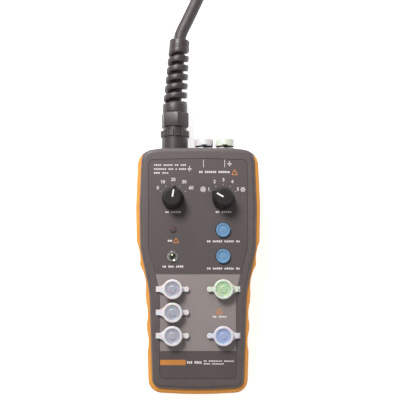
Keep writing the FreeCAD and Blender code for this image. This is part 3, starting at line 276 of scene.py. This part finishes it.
def panel_film():
    """The printed film: fine speckle all over, with a lighter field behind the sockets."""
    nodes = Nodes("panel_film")
    y = nodes.add("ShaderNodeSeparateXYZ")
    nodes.join(nodes.coordinates, y.inputs[0])
    edges = []
    for level, operation in ((FIELD_TOP, "LESS_THAN"), (FIELD_FOOT, "GREATER_THAN")):
        test = nodes.add("ShaderNodeMath", operation=operation)
        nodes.join(y.outputs["Y"], test.inputs[0])
        test.inputs[1].default_value = level
        edges.append(test.outputs[0])
    both = nodes.add("ShaderNodeMath", operation="MULTIPLY")
    nodes.join(edges[0], both.inputs[0])
    nodes.join(edges[1], both.inputs[1])
    dark, light = srgb(76, 66, 66), srgb(130, 120, 118)
    speckle = nodes.spread(nodes.noise(0.7 * MM, 2), 0, 1)
    ground = nodes.blend(speckle, scaled(dark, 0.86), scaled(dark, 1.12))
    field = nodes.blend(speckle, scaled(light, 0.93), scaled(light, 1.07))
    nodes.join(nodes.blend(both.outputs[0], ground, field), nodes.shader.inputs["Base Color"])
    nodes.join(nodes.spread(nodes.noise(4 * MM), 0.42, 0.55), nodes.shader.inputs["Roughness"])
    nodes.bump(nodes.noise(0.35 * MM, 2), 0.025 * MM)
    return nodes.material


def soft_cap(name, colour):
    """Soft translucent plastic: light gets some way in and comes out again."""
    nodes = moulded(name, colour, 0.34, grain=0.5 * MM, depth=0.01 * MM, mottle=0.03, gloss=0.5)
    nodes.shader.inputs["Subsurface Weight"].default_value = 0.45
    nodes.shader.inputs["Subsurface Scale"].default_value = 1.2 * MM
    nodes.shader.inputs["Transmission Weight"].default_value = 0.22
    return nodes.material


def metal(name, colour, roughness):
    nodes = moulded(name, colour, roughness, grain=0.4 * MM, depth=0.004 * MM, mottle=0.05, blur=0.05)
    nodes.shader.inputs["Metallic"].default_value = 1.0
    return nodes.material


# --- camera, light and floor ------------------------------------------------------------------------

CAMERA_PLACE = Vector((0.0017, -0.0025, 0.750))
CAMERA_TILT = math.radians(2.62)
CAMERA_LENS = 74.3
CAMERA_SENSOR = 36
CAMERA_SHIFT = 0.09
WORLD_STRENGTH = 0.36
# name: place, the point it is aimed at, diameter in metres, power in watts
LIGHTS = {
    "key": ((-0.40, 0.72, 1.0), (0, 0.02, 0), 0.42, 16.5),
    "back": ((-0.35, 1.25, 0.42), (0, 0.05, 0.03), 0.5, 7),
    "fill": ((0.9, -0.5, 0.9), (0, 0, 0), 0.9, 2),
}
FLOOR_REACH = 15
FLOOR_SHADE = 0.9
FLOOR_GLOW = 0.66
WHITE = (1, 1, 1, 1)


def make_camera():
    data = bpy.data.cameras.new("camera")
    data.lens = CAMERA_LENS
    data.sensor_width = CAMERA_SENSOR
    data.shift_y = CAMERA_SHIFT
    camera = bpy.data.objects.new("camera", data)
    bpy.context.scene.collection.objects.link(camera)
    camera.location = CAMERA_PLACE
    camera.rotation_euler = (CAMERA_TILT, 0, 0)
    bpy.context.scene.camera = camera


def area_light(name, place, aim, size, power):
    data = bpy.data.lights.new(name, "AREA")
    data.shape = "DISK"
    data.size = size
    data.energy = power
    light = bpy.data.objects.new(name, data)
    bpy.context.scene.collection.objects.link(light)
    light.location = place
    light.rotation_euler = (Vector(aim) - Vector(place)).to_track_quat("-Z", "Y").to_euler()


def make_light():
    world = bpy.data.worlds.new("studio")
    bpy.context.scene.world = world
    world.use_nodes = True
    background = world.node_tree.nodes["Background"]
    background.inputs["Color"].default_value = WHITE
    background.inputs["Strength"].default_value = WORLD_STRENGTH
    for name, (place, aim, size, power) in LIGHTS.items():
        area_light(name, place, aim, size, power)
    bpy.context.scene.view_settings.view_transform = "Standard"


def make_floor():
    mesh = bpy.data.meshes.new("floor")
    corners = [(FLOOR_REACH * x, FLOOR_REACH * y, 0) for x, y in ((-1, -1), (1, -1), (1, 1), (-1, 1))]
    mesh.from_pydata(corners, [], [(0, 1, 2, 3)])
    nodes = Nodes("floor_paper")
    nodes.shader.inputs["Base Color"].default_value = (FLOOR_SHADE, FLOOR_SHADE, FLOOR_SHADE, 1)
    nodes.shader.inputs["Roughness"].default_value = 0.9
    nodes.shader.inputs["Emission Color"].default_value = WHITE
    nodes.shader.inputs["Emission Strength"].default_value = FLOOR_GLOW
    new_object("floor", mesh, nodes.material)


# --- the lead ---------------------------------------------------------------------------------------

LEAD_DIAMETER = 11.0 * MM
# The same points as the lead has in the CAD, from the tip of its bend relief, in millimetres.
LEAD_ROUTE = [
    (-16.40, 204.85, 24.00),
    (-16.15, 208.34, 24.00),
    (-14.20, 213.45, 24.00),
    (-9.80, 222.35, 23.45),
    (-1.20, 241.45, 21.06),
    (9.10, 265.85, 15.72),
    (26.80, 307.35, 7.99),
    (39.80, 347.85, 5.60),
    (43.80, 388.85, 5.60),
    (22.30, 424.15, 5.60),
    (-16.20, 437.35, 7.20),
    (-56.00, 422.85, 13.39),
    (-80.00, 387.85, 21.00),
    (-80.00, 350.00, 21.00),
]


def make_lead(material):
    data = bpy.data.curves.new("lead", "CURVE")
    data.dimensions = "3D"
    spline = data.splines.new("NURBS")
    spline.points.add(len(LEAD_ROUTE) - 1)
    for point, place in zip(spline.points, LEAD_ROUTE):
        point.co = (*(c * MM for c in place), 1)
    spline.order_u = 3
    spline.use_endpoint_u = True
    spline.resolution_u = 16
    data.resolution_u = 16
    data.bevel_depth = LEAD_DIAMETER / 2
    data.bevel_resolution = 10
    data.use_fill_caps = True
    lead = bpy.data.objects.new("lead", data)
    bpy.context.scene.collection.objects.link(lead)
    data.materials.append(material)
    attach(lead, "case")
    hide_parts("lead_cable")


# --- gland nut and its spiral -----------------------------------------------------------------------

GLAND_X = GLAND.x
GLAND_Z = GLAND.z
NUT_FOOT = CASE_END + 20.4 * MM
NUT_LENGTH = 12.9 * MM
NUT_END = NUT_FOOT + NUT_LENGTH
NUT_ACROSS_FLATS = 22.2 * MM
NUT_ROUNDING = 0.9 * MM
NUT_TURN = 16
SHOULDER_LENGTH = 8.4 * MM
RELIEF_FOOT = NUT_END + SHOULDER_LENGTH
RELIEF_LEAN = math.radians(4.1)
SPIRAL_START = -3.9 * MM
SPIRAL_PITCH = 8.2 * MM
SPIRAL_TURNS = 6.5
SPIRAL_LENGTH = 48.4 * MM
# The spiral's section: its radii, half its width along the axis, and how square its sides are.
SPIRAL_INNER = 6.6 * MM
SPIRAL_OUTER_FOOT = 10.75 * MM
SPIRAL_OUTER_TIP = 9.1 * MM
SPIRAL_HALF_WIDTH = 2.65 * MM
SPIRAL_SQUARE_ACROSS = 0.55
SPIRAL_SQUARE_ALONG = 0.7
TIP_LENGTH = 8.9 * MM


def on_gland(across, height, along):
    """A point from its offsets to the gland's axis and its place along it. The axis leans in the relief."""
    beyond = max(0.0, along - RELIEF_FOOT)
    lean = RELIEF_LEAN if beyond else 0.0
    x = GLAND_X + across * math.cos(lean) + beyond * math.sin(lean)
    y = min(along, RELIEF_FOOT) + beyond * math.cos(lean) - across * math.sin(lean)
    return Vector((x, y, GLAND_Z + height))


def gland_lathe(profile, steps=72):
    """A half section (radius, place along the axis) turned about the gland's axis."""
    points, faces = lathe(profile, steps)
    return [on_gland(p.x, p.y, p.z) for p in points], faces


def make_nut_mesh():
    """A hexagonal nut whose corners are rounded."""
    mesh = bmesh.new()
    side = NUT_ACROSS_FLATS / math.sqrt(3)
    rings = []
    for along in (NUT_FOOT, NUT_END):
        rings.append([mesh.verts.new(on_gland(side * math.cos(a), side * math.sin(a), along))
                      for a in (math.radians(NUT_TURN + 60 * k) for k in range(6))])
    for index in range(6):
        after = (index + 1) % 6
        mesh.faces.new((rings[0][index], rings[0][after], rings[1][after], rings[1][index]))
    mesh.faces.new(rings[0])
    mesh.faces.new(rings[1])
    bmesh.ops.recalc_face_normals(mesh, faces=mesh.faces)
    bmesh.ops.bevel(mesh, geom=mesh.edges[:], offset=NUT_ROUNDING, segments=3, profile=0.5, affect="EDGES")
    out = bpy.data.meshes.new("gland_hex")
    mesh.to_mesh(out)
    mesh.free()
    out.shade_smooth()
    return out


def make_spiral_mesh():
    """An open helix with a rounded rectangular section, narrower towards its tip."""
    per_turn = 48
    steps = int(per_turn * SPIRAL_TURNS)
    corners = 20
    points = []
    for step in range(steps + 1):
        angle = 2 * math.pi * step / per_turn
        share = step / steps
        centre = RELIEF_FOOT + SPIRAL_START + SPIRAL_PITCH * SPIRAL_TURNS * share
        outer = SPIRAL_OUTER_FOOT + (SPIRAL_OUTER_TIP - SPIRAL_OUTER_FOOT) * share
        for corner in range(corners):
            turn = 2 * math.pi * corner / corners
            c, d = math.cos(turn), math.sin(turn)
            swell = math.copysign(abs(c) ** SPIRAL_SQUARE_ACROSS, c)
            radius = (outer + SPIRAL_INNER) / 2 + swell * (outer - SPIRAL_INNER) / 2
            along = centre + math.copysign(abs(d) ** SPIRAL_SQUARE_ALONG, d) * SPIRAL_HALF_WIDTH
            points.append(on_gland(-radius * math.cos(angle), radius * math.sin(angle), along))
    faces = []
    for step in range(steps):
        for corner in range(corners):
            after = (corner + 1) % corners
            a, b = step * corners, (step + 1) * corners
            faces.append((a + corner, a + after, b + after, b + corner))
    faces.append(tuple(range(corners)))
    faces.append(tuple(reversed(range(steps * corners, (steps + 1) * corners))))
    return mesh_from("gland_spiral", points, faces)


def make_gland_nut():
    add = [add_piece("gland_hex", make_nut_mesh(), "gland")]
    shoulder = [
        (10.0, NUT_END / MM - 1.0), (10.7, NUT_END / MM), (10.9, NUT_END / MM + 1.0),
        (10.9, RELIEF_FOOT / MM - 1.2), (10.6, RELIEF_FOOT / MM - 0.4), (9.9, RELIEF_FOOT / MM),
        (5.8, RELIEF_FOOT / MM),
    ]
    points, faces = gland_lathe([(r * MM, y * MM) for r, y in shoulder])
    add.append(add_piece("gland_shoulder", mesh_from("gland_shoulder", points, faces), "gland"))
    add.append(add_piece("gland_spiral", make_spiral_mesh(), "gland"))
    low = (RELIEF_FOOT + SPIRAL_LENGTH) / MM
    high = low + TIP_LENGTH / MM
    tip = [
        (5.9, low - 1.5), (8.3, low - 1.5), (8.8, low - 0.9), (8.95, low),
        (8.95, high - 1.4), (8.7, high - 0.5), (8.1, high), (6.3, high), (5.9, high - 0.5), (5.7, high - 3.0),
    ]
    points, faces = gland_lathe([(r * MM, y * MM) for r, y in tip])
    add.append(add_piece("gland_tip", mesh_from("gland_tip", points, faces), "gland"))
    for piece in add:
        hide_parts("gland_nut")


# --- print on the panel -----------------------------------------------------------------------------

INK_LOW = PANEL_Z - 0.02 * MM
INK_HIGH = PANEL_Z + 0.05 * MM


class Print:
    """Flat printed shapes on the panel, in millimetres, gathered into one thin mesh."""

    def __init__(self):
        self.points, self.faces = [], []

    def shape(self, corners):
        """A closed outline, a little raised, with its walls."""
        if sum(a[0] * b[1] - b[0] * a[1] for a, b in zip(corners, corners[1:] + corners[:1])) < 0:
            corners = corners[::-1]
        start, count = len(self.points), len(corners)
        for level in (INK_LOW, INK_HIGH):
            self.points += [(x * MM, y * MM, level) for x, y in corners]
        self.faces.append([start + count + k for k in range(count)])
        for k in range(count):
            after = (k + 1) % count
            self.faces.append([start + k, start + after, start + count + after, start + count + k])

    def bar(self, x0, y0, x1, y1, width):
        """A straight stroke from one point to another."""
        length = math.hypot(x1 - x0, y1 - y0)
        nx, ny = -(y1 - y0) / length * width / 2, (x1 - x0) / length * width / 2
        self.shape([(x0 - nx, y0 - ny), (x1 - nx, y1 - ny), (x1 + nx, y1 + ny), (x0 + nx, y0 + ny)])

    def ring(self, x, y, radius, width, start=0, end=360, steps=24):
        """An arc as a band."""
        angles = [math.radians(start + (end - start) * k / steps) for k in range(steps + 1)]
        for a, b in zip(angles, angles[1:]):
            inner, outer = radius - width / 2, radius + width / 2
            self.shape([(x + r * math.cos(t), y + r * math.sin(t))
                        for r, t in ((inner, a), (outer, a), (outer, b), (inner, b))])

    def caption(self, x0, x1, y, height, words, gap):
        """A line of small blocks, grouped like words, that stands for a caption."""
        count = sum(words) + len(words) - 1
        pitch = (x1 - x0 + gap) / count
        place = 0
        for word in words:
            for _ in range(word):
                left = x0 + place * pitch
                tall = height * CHANCE.choice((1.0, 1.0, 0.86))
                self.shape([(left, y - height / 2), (left + pitch - gap, y - height / 2),
                            (left + pitch - gap, y - height / 2 + tall), (left, y - height / 2 + tall)])
                place += 1
            place += 1

    def number(self, text, x, y, height):
        """Figures in the built-in font, centred on a point."""
        data = bpy.data.curves.new("figures", "FONT")
        data.body = text
        data.size = height / 0.69
        data.align_x = "CENTER"
        data.align_y = "CENTER"
        data.offset = 0.09
        data.resolution_u = 3
        figures = bpy.data.objects.new("figures", data)
        flat = figures.to_mesh()
        start = len(self.points)
        for level in (INK_LOW, INK_HIGH):
            self.points += [((x + v.co.x) * MM, (y + v.co.y) * MM, level) for v in flat.vertices]
        count = len(flat.vertices)
        for polygon in flat.polygons:
            turned = polygon.vertices if polygon.normal.z > 0 else reversed(polygon.vertices)
            self.faces.append([start + count + k for k in turned])
        sides = {}
        for polygon in flat.polygons:
            for key in polygon.edge_keys:
                sides[key] = sides.get(key, 0) + 1
        for (a, b), uses in sides.items():
            if uses == 1:
                self.faces.append([start + a, start + b, start + count + b, start + count + a])
        figures.to_mesh_clear()
        bpy.data.objects.remove(figures)
        bpy.data.curves.remove(data)

    def triangle(self, x, y, size, width):
        """An upright triangle as an outline with rounded weight."""
        tall = size * 0.88
        corners = [(x - size / 2, y - tall / 2), (x + size / 2, y - tall / 2), (x, y + tall / 2)]
        for (ax, ay), (bx, by) in zip(corners, corners[1:] + corners[:1]):
            self.bar(ax, ay, bx, by, width)

    def earth(self, x, y, size):
        """The usual sign for earth: a stem on three shorter and shorter lines."""
        self.bar(x, y + size * 0.5, x, y, size * 0.12)
        for step, share in enumerate((1.0, 0.62, 0.28)):
            level = y - step * size * 0.2
            self.bar(x - size * 0.42 * share, level, x + size * 0.42 * share, level, size * 0.12)

    def piece(self, name, finish):
        add_piece(name, mesh_from(name, self.points, self.faces, smooth=False), finish)


CHANCE = random.Random(5)


# The places of a selector, in degrees clockwise from the case's length, and the marks at them.
DIAL_TURNS = (-60, -30, 0, 30, 60)
TICK_NEAR, TICK_FAR, TICK_WIDTH = 11.7, 12.9, 0.26
FIGURE_HEIGHT = 2.75
FIGURES = [
    ("0", -34.5, 71.0), ("10", -30.3, 76.2), ("20", -21.3, 78.2), ("30", -11.9, 76.2), ("60", -5.9, 71.1),
    ("1", 9.2, 69.9), ("2", 14.2, 76.4), ("3", 21.8, 78.0), ("4", 29.4, 76.4), ("5", 34.2, 69.9),
]
FAN_SIGN = (4.4, 69.9)
STAR_SIGN = (38.5, 69.7)
SIGN_RADIUS = 2.2


def print_dials(ink):
    for centre in (RANGE_KNOB, STATE_KNOB):
        x, y = centre.x / MM, centre.y / MM
        for turn in DIAL_TURNS:
            c, s = math.cos(math.radians(90 - turn)), math.sin(math.radians(90 - turn))
            ink.bar(x + TICK_NEAR * c, y + TICK_NEAR * s, x + TICK_FAR * c, y + TICK_FAR * s, TICK_WIDTH)
    for text, x, y in FIGURES:
        ink.number(text, x, y, FIGURE_HEIGHT)


def print_signs(ink):
    """A ring of four small rings at one end of the right dial, and a star of four bars at the other."""
    x, y = FAN_SIGN
    for petal in range(4):
        angle = math.radians(45 + 90 * petal)
        ink.ring(x + math.cos(angle), y + math.sin(angle), 0.55, 0.5, steps=8)
    ink.ring(x, y, SIGN_RADIUS, 0.4)
    x, y = STAR_SIGN
    for ray in range(4):
        angle = math.radians(45 * ray)
        dx, dy = SIGN_RADIUS * math.cos(angle), SIGN_RADIUS * math.sin(angle)
        ink.bar(x - dx, y - dy, x + dx, y + dy, 0.7)


# Lines of blocks: left end, right end, middle height, block height, the length of each word, gap.
CAPTIONS = [
    (-37.8, -10.5, 90.8, 1.35, (4, 5, 2, 3), 0.5),
    (-37.8, -10.5, 87.3, 1.35, (7, 3, 1, 4), 0.5),
    (-37.8, -25.5, 84.0, 1.35, (3, 3), 0.5),
    (0.9, 27.2, 84.8, 1.7, (2, 6, 6), 0.42),
    (-28.0, -14.8, 50.3, 1.5, (2, 5), 0.42),
    (15.2, 28.4, 50.3, 1.5, (2, 5), 0.42),
    (-25.8, -22.2, 25.7, 1.5, (2,), 0.42),
    (-30.2, -12.6, 3.7, 1.75, (2, 3, 4), 0.42),
    (7.7, 35.6, 25.2, 1.6, (2, 5, 5, 2), 0.42),
    (7.7, 35.6, 2.0, 1.6, (2, 5, 5, 2), 0.42),
    (12.5, 24.2, -39.0, 1.5, (2, 4), 0.42),
    (-9.4, 3.0, -77.7, 2.2, (3, 4), 0.42),
    (4.8, 30.4, -76.6, 1.05, (2, 8, 6), 0.36),
    (4.8, 21.8, -78.9, 1.05, (4, 7), 0.36),
]
# Empty triangles: middle, size and the width of their line.
TRIANGLES = [(31.4, 84.6, 4.9, 0.62), (-18.8, 26.0, 4.6, 0.55), (18.3, -34.0, 5.4, 0.7)]
EARTH_SIGNS = [(-7.3, 87.6), (27.0, 91.9)]
EARTH_SIZE = 4.6
# The two lines that lead to the sockets on the end, and the plain plate at the foot.
SOCKET_LINES = (4.7, 22.9)
LINE_FOOT, LINE_TOP, LINE_WIDTH = 88.9, 95.3, 0.45
PLATE = [(-32.2, -75.5), (-32.2, -80.0), (-10.5, -80.0), (-10.5, -75.5)]


def print_panel():
    ink, signal, plate = Print(), Print(), Print()
    print_dials(ink)
    print_signs(ink)
    for left, right, level, height, words, gap in CAPTIONS:
        ink.caption(left, right, level, height, words, gap)
    for x, y in EARTH_SIGNS:
        ink.earth(x, y, EARTH_SIZE)
    for x in SOCKET_LINES:
        ink.bar(x, LINE_FOOT, x, LINE_TOP, LINE_WIDTH)
    for x, y, size, width in TRIANGLES:
        signal.triangle(x, y, size, width)
    plate.shape(PLATE)
    ink.piece("panel_print_white", "ink")
    signal.piece("panel_print_orange", "signal")
    plate.piece("panel_plate", "plate")


# --- details on the controls ------------------------------------------------------------------------


def turned_about(points, centre, angle):
    """Points turned about Z and moved to a centre."""
    turn = Matrix.Rotation(angle, 4, "Z")
    return [turn @ p + centre for p in points]


# The flutes of a selector: how many, the depth of each across four steps, and its side (radius, height).
FLUTES = 40
FLUTE_DEPTHS = (0.0, 0.12, 0.26, 0.12)
FLUTE_SIDE = ((8.62, 4.6), (8.68, 5.0), (7.62, 15.4), (7.4, 15.75))
# The bar on its cap.
POINTER_HALF_WIDTH = 0.62 * MM
POINTER_NEAR, POINTER_FAR = 0.2 * MM, 6.5 * MM
POINTER_SUNK, POINTER_RAISED = 0.1 * MM, 0.12 * MM


def make_flutes(name, base):
    points, faces = [], []
    count = FLUTES * len(FLUTE_DEPTHS)
    for radius, height in FLUTE_SIDE:
        for k in range(count):
            angle = 2 * math.pi * k / count
            r = (radius - FLUTE_DEPTHS[k % len(FLUTE_DEPTHS)]) * MM
            points.append(base + Vector((r * math.cos(angle), r * math.sin(angle), height * MM)))
    for layer in range(len(FLUTE_SIDE) - 1):
        for k in range(count):
            after = (k + 1) % count
            a, b = layer * count, (layer + 1) * count
            faces.append((a + k, a + after, b + after, b + k))
    add_piece(f"{name}_flutes", mesh_from(f"{name}_flutes", points, faces), "knob", f"{name}_selector")


def make_pointer(name, base, rest):
    cap_top = top(f"{name}_knob_cap") - PANEL_Z
    half, far = POINTER_HALF_WIDTH, POINTER_FAR
    side = [(half, POINTER_NEAR), (half, far - half), (half * 0.7, far)]
    corners = [(-half, POINTER_NEAR), *side, (-half * 0.7, far), (-half, far - half)]
    count = len(corners)
    levels = (cap_top - POINTER_SUNK, cap_top + POINTER_RAISED)
    points = [Vector((x, y, z)) for z in levels for x, y in corners]
    faces = [tuple(range(count, 2 * count))]
    for k in range(count):
        after = (k + 1) % count
        faces.append((k, after, count + after, count + k))
    points = turned_about(points, base, math.radians(-rest))
    pointer = mesh_from(f"{name}_pointer", points, faces, smooth=False)
    add_piece(f"{name}_pointer", pointer, "mark", f"{name}_selector")


def make_knob_details(name, centre, rest):
    """The flutes round a selector and the white bar on its cap."""
    base = Vector((centre.x, centre.y, PANEL_Z))
    make_flutes(name, base)
    make_pointer(name, base, rest)


SOCKET_PLACES = {
    "l1": ((-21.5, -15.6), "disc_grey"),
    "l2": ((-21.5, -35.3), "disc_grey"),
    "l3": ((-21.5, -55.0), "disc_grey"),
    "pe": ((21.5, -15.6), "disc_green"),
    "n": ((21.5, -55.0), "disc_blue"),
}
END_SOCKET_PLACES = {"cp_output": (5.3, "disc_cream"), "pe_output": (23.5, "disc_green")}
# The caps that aren't clear.
CAP_FINISHES = {"pe": "green", "n": "blue", "pe_output": "green"}


def disc_mesh(name, place):
    """The tinted disc in a cap's dish, with the rings of the socket that show through."""
    profile = [
        (0.0, 8.5), (0.7, 8.48), (1.0, 8.36), (1.3, 8.34), (1.8, 8.36), (2.1, 8.5), (2.6, 8.48), (2.8, 8.2),
        (3.2, 8.06), (3.7, 8.04), (4.6, 8.06), (5.0, 8.14), (5.5, 8.22), (5.9, 8.34), (6.12, 8.5),
        (6.2, 8.62),
    ]
    points, faces = lathe([(r * MM, z * MM) for r, z in profile], 56)
    return mesh_from(name, [place @ p for p in points], faces)


# A cap's half section (radius, height), and one side of its strap and of its pull tab, in millimetres.
CAP_CUP = [
    (0.0, 7.1), (7.8, 7.1), (7.8, 2.3), (8.4, 2.3), (8.4, 7.9), (8.32, 8.28), (8.1, 8.54), (7.75, 8.68),
    (7.3, 8.7), (6.8, 8.68), (6.5, 8.58), (6.3, 8.38), (6.1, 8.05), (5.9, 8.0), (0.0, 8.0),
]
STRAP_LOW, STRAP_HIGH, STRAP_CHAMFER = 2.3, 3.3, 0.22
CAP_STRAP = [(6.4, 5.2), (7.6, 4.35), (8.7, 3.5), (9.8, 2.8), (10.9, 2.42), (12.6, 2.3), (12.85, 2.0)]
CAP_TAB = [
    (-7.9, 2.6), (-8.9, 2.05), (-10.2, 1.95), (-11.2, 2.25), (-12.3, 2.3), (-13.2, 1.85), (-13.75, 1.05),
    (-13.9, 0.3),
]


def slab(outline, low, high, chamfer):
    """A flat piece with a chamfered top, from one side of an outline that is the same on both sides."""
    outline = outline + [(x, -y) for x, y in reversed(outline)]
    middle = (outline[0][0] + outline[len(outline) // 2][0]) / 2
    inner = []
    for x, y in outline:
        length = math.hypot(x - middle, y)
        inner.append((x - chamfer * (x - middle) / length, y - chamfer * y / length))
    count = len(outline)
    points = [Vector((x, y, z)) * MM for ring, z in ((outline, low), (outline, high - chamfer), (inner, high))
              for x, y in ring]
    faces = [tuple(range(count)), tuple(range(2 * count, 3 * count))]
    for layer in (0, count):
        for k in range(count):
            after = (k + 1) % count
            faces.append((layer + k, layer + after, layer + count + after, layer + count + k))
    return points, faces


def cap_mesh(name, place):
    """A dust cap: the cup, the strap that widens into it and the rounded pull tab."""
    points, faces = lathe([(r * MM, z * MM) for r, z in CAP_CUP], 64)
    for outline in (CAP_STRAP, CAP_TAB):
        more, ends = slab(outline, STRAP_LOW, STRAP_HIGH, STRAP_CHAMFER)
        start = len(points)
        points += more
        faces += [[start + k for k in face] for face in ends]
    mesh = mesh_from(name, [place @ p for p in points], faces)
    shape = bmesh.new()
    shape.from_mesh(mesh)
    bmesh.ops.recalc_face_normals(shape, faces=shape.faces)
    shape.to_mesh(mesh)
    shape.free()
    mesh.set_sharp_from_angle(angle=math.radians(40))
    return mesh


def make_dust_cap(name, place, tint, finish):
    """The cap and its tinted disc, in place of the plain one."""
    cup = cap_mesh(f"{name}_cap_cup", place)
    cap = add_piece(f"{name}_cap_cup", cup, finish, f"{name}_cap")
    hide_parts(f"{name}_dust_cap")
    add_piece(f"{name}_cap_disc", disc_mesh(f"{name}_cap_disc", place), tint, f"{name}_cap")


def make_dust_caps():
    for name, ((x, y), tint) in SOCKET_PLACES.items():
        turn = Matrix.Rotation(math.pi if x < 0 else 0, 4, "Z")
        place = Matrix.Translation((x * MM, y * MM, PANEL_Z)) @ turn
        make_dust_cap(name, place, tint, CAP_FINISHES.get(name, "clear"))
    # On the end, a socket's axis is the case's length and its strap points at the table.
    turn = Matrix(((0, -1, 0, 0), (0, 0, 1, 0), (-1, 0, 0, 0), (0, 0, 0, 1)))
    for name, (x, tint) in END_SOCKET_PLACES.items():
        place = Matrix.Translation((x * MM, SEAT_FACE, GLAND_Z)) @ turn
        make_dust_cap(name, place, tint, CAP_FINISHES.get(name, "clear"))


def make_touch_centre():
    base = Vector((TOUCH.x, TOUCH.y, PANEL_Z))
    dome = [(0.0, 1.5), (0.8, 1.43), (1.6, 1.22), (2.3, 0.86), (2.7, 0.5), (2.85, 0.2)]
    ring = [(2.85, 0.5), (2.95, 0.95), (3.15, 1.2), (3.45, 1.22), (3.7, 1.0), (3.88, 0.62), (3.95, 0.2)]
    # The dome takes the darkened metal, so the black in its middle is a painted reflection; the ring is plain
    # plated metal.
    for name, profile, finish in (("touch_dome", dome, "painted_reflection_metal"), ("touch_ring", ring, "chrome")):
        points, faces = lathe([(r * MM, z * MM) for r, z in profile], 40)
        add_piece(name, mesh_from(name, [p + base for p in points], faces), finish)


# --- CAD nodes that keep their shape ----------------------------------------------------------------

FINISHES = {
    "shell": ["front_shell", "rear_shell"],
    "grip": ["side_grip"],
    "panel": ["panel_overlay"],
    "knob": ["range_knob", "state_knob", "range_knob_cap", "state_knob_cap"],
    "button": ["upper_button_cap", "lower_button_cap"],
    "black": ["l1_socket", "l2_socket", "l3_socket", "n_socket", "pe_socket", "cp_output_socket",
              "pe_output_socket", "range_switch_body", "state_switch_body", "upper_button_switch",
              "lower_button_switch", "case_gasket", "gland_seal", "connector_insert"],
    "gland": ["gland_collar", "gland_body", "gland_locknut", "gland_nut", "connector_shell"],
    "jacket": ["lead_core", "connector_boot"],
    "clear": ["cap_rings"],
    "chrome": ["touch_electrode", "socket_contacts"],
    "brass": ["socket_nuts", "connector_pins", "touch_electrode_nut", "range_switch_nut", "state_switch_nut"],
    "steel": ["range_switch_shaft", "state_switch_shaft", "case_screws", "board_screws",
              "upper_button_spring", "lower_button_spring"],
    "lens": ["lamp_lens"],
    "glass": ["lamp_bulb"],
    "board": ["main_board"],
    "terminal": ["terminal_block"],
    "wire": ["lead_conductors"],
}


def dress_nodes(materials):
    for finish, names in FINISHES.items():
        for name in names:
            data = NODES[name].data
            data.materials.clear()
            data.materials.append(materials[finish])


# --- the making -------------------------------------------------------------------------------------

MATERIALS = make_materials()
make_camera()
make_lead(MATERIALS["jacket"])
make_gland_nut()
print_panel()
make_knob_details("range", RANGE_KNOB, 10)
make_knob_details("state", STATE_KNOB, -60)
make_dust_caps()
make_touch_centre()
dress_nodes(MATERIALS)
make_light()
make_floor()
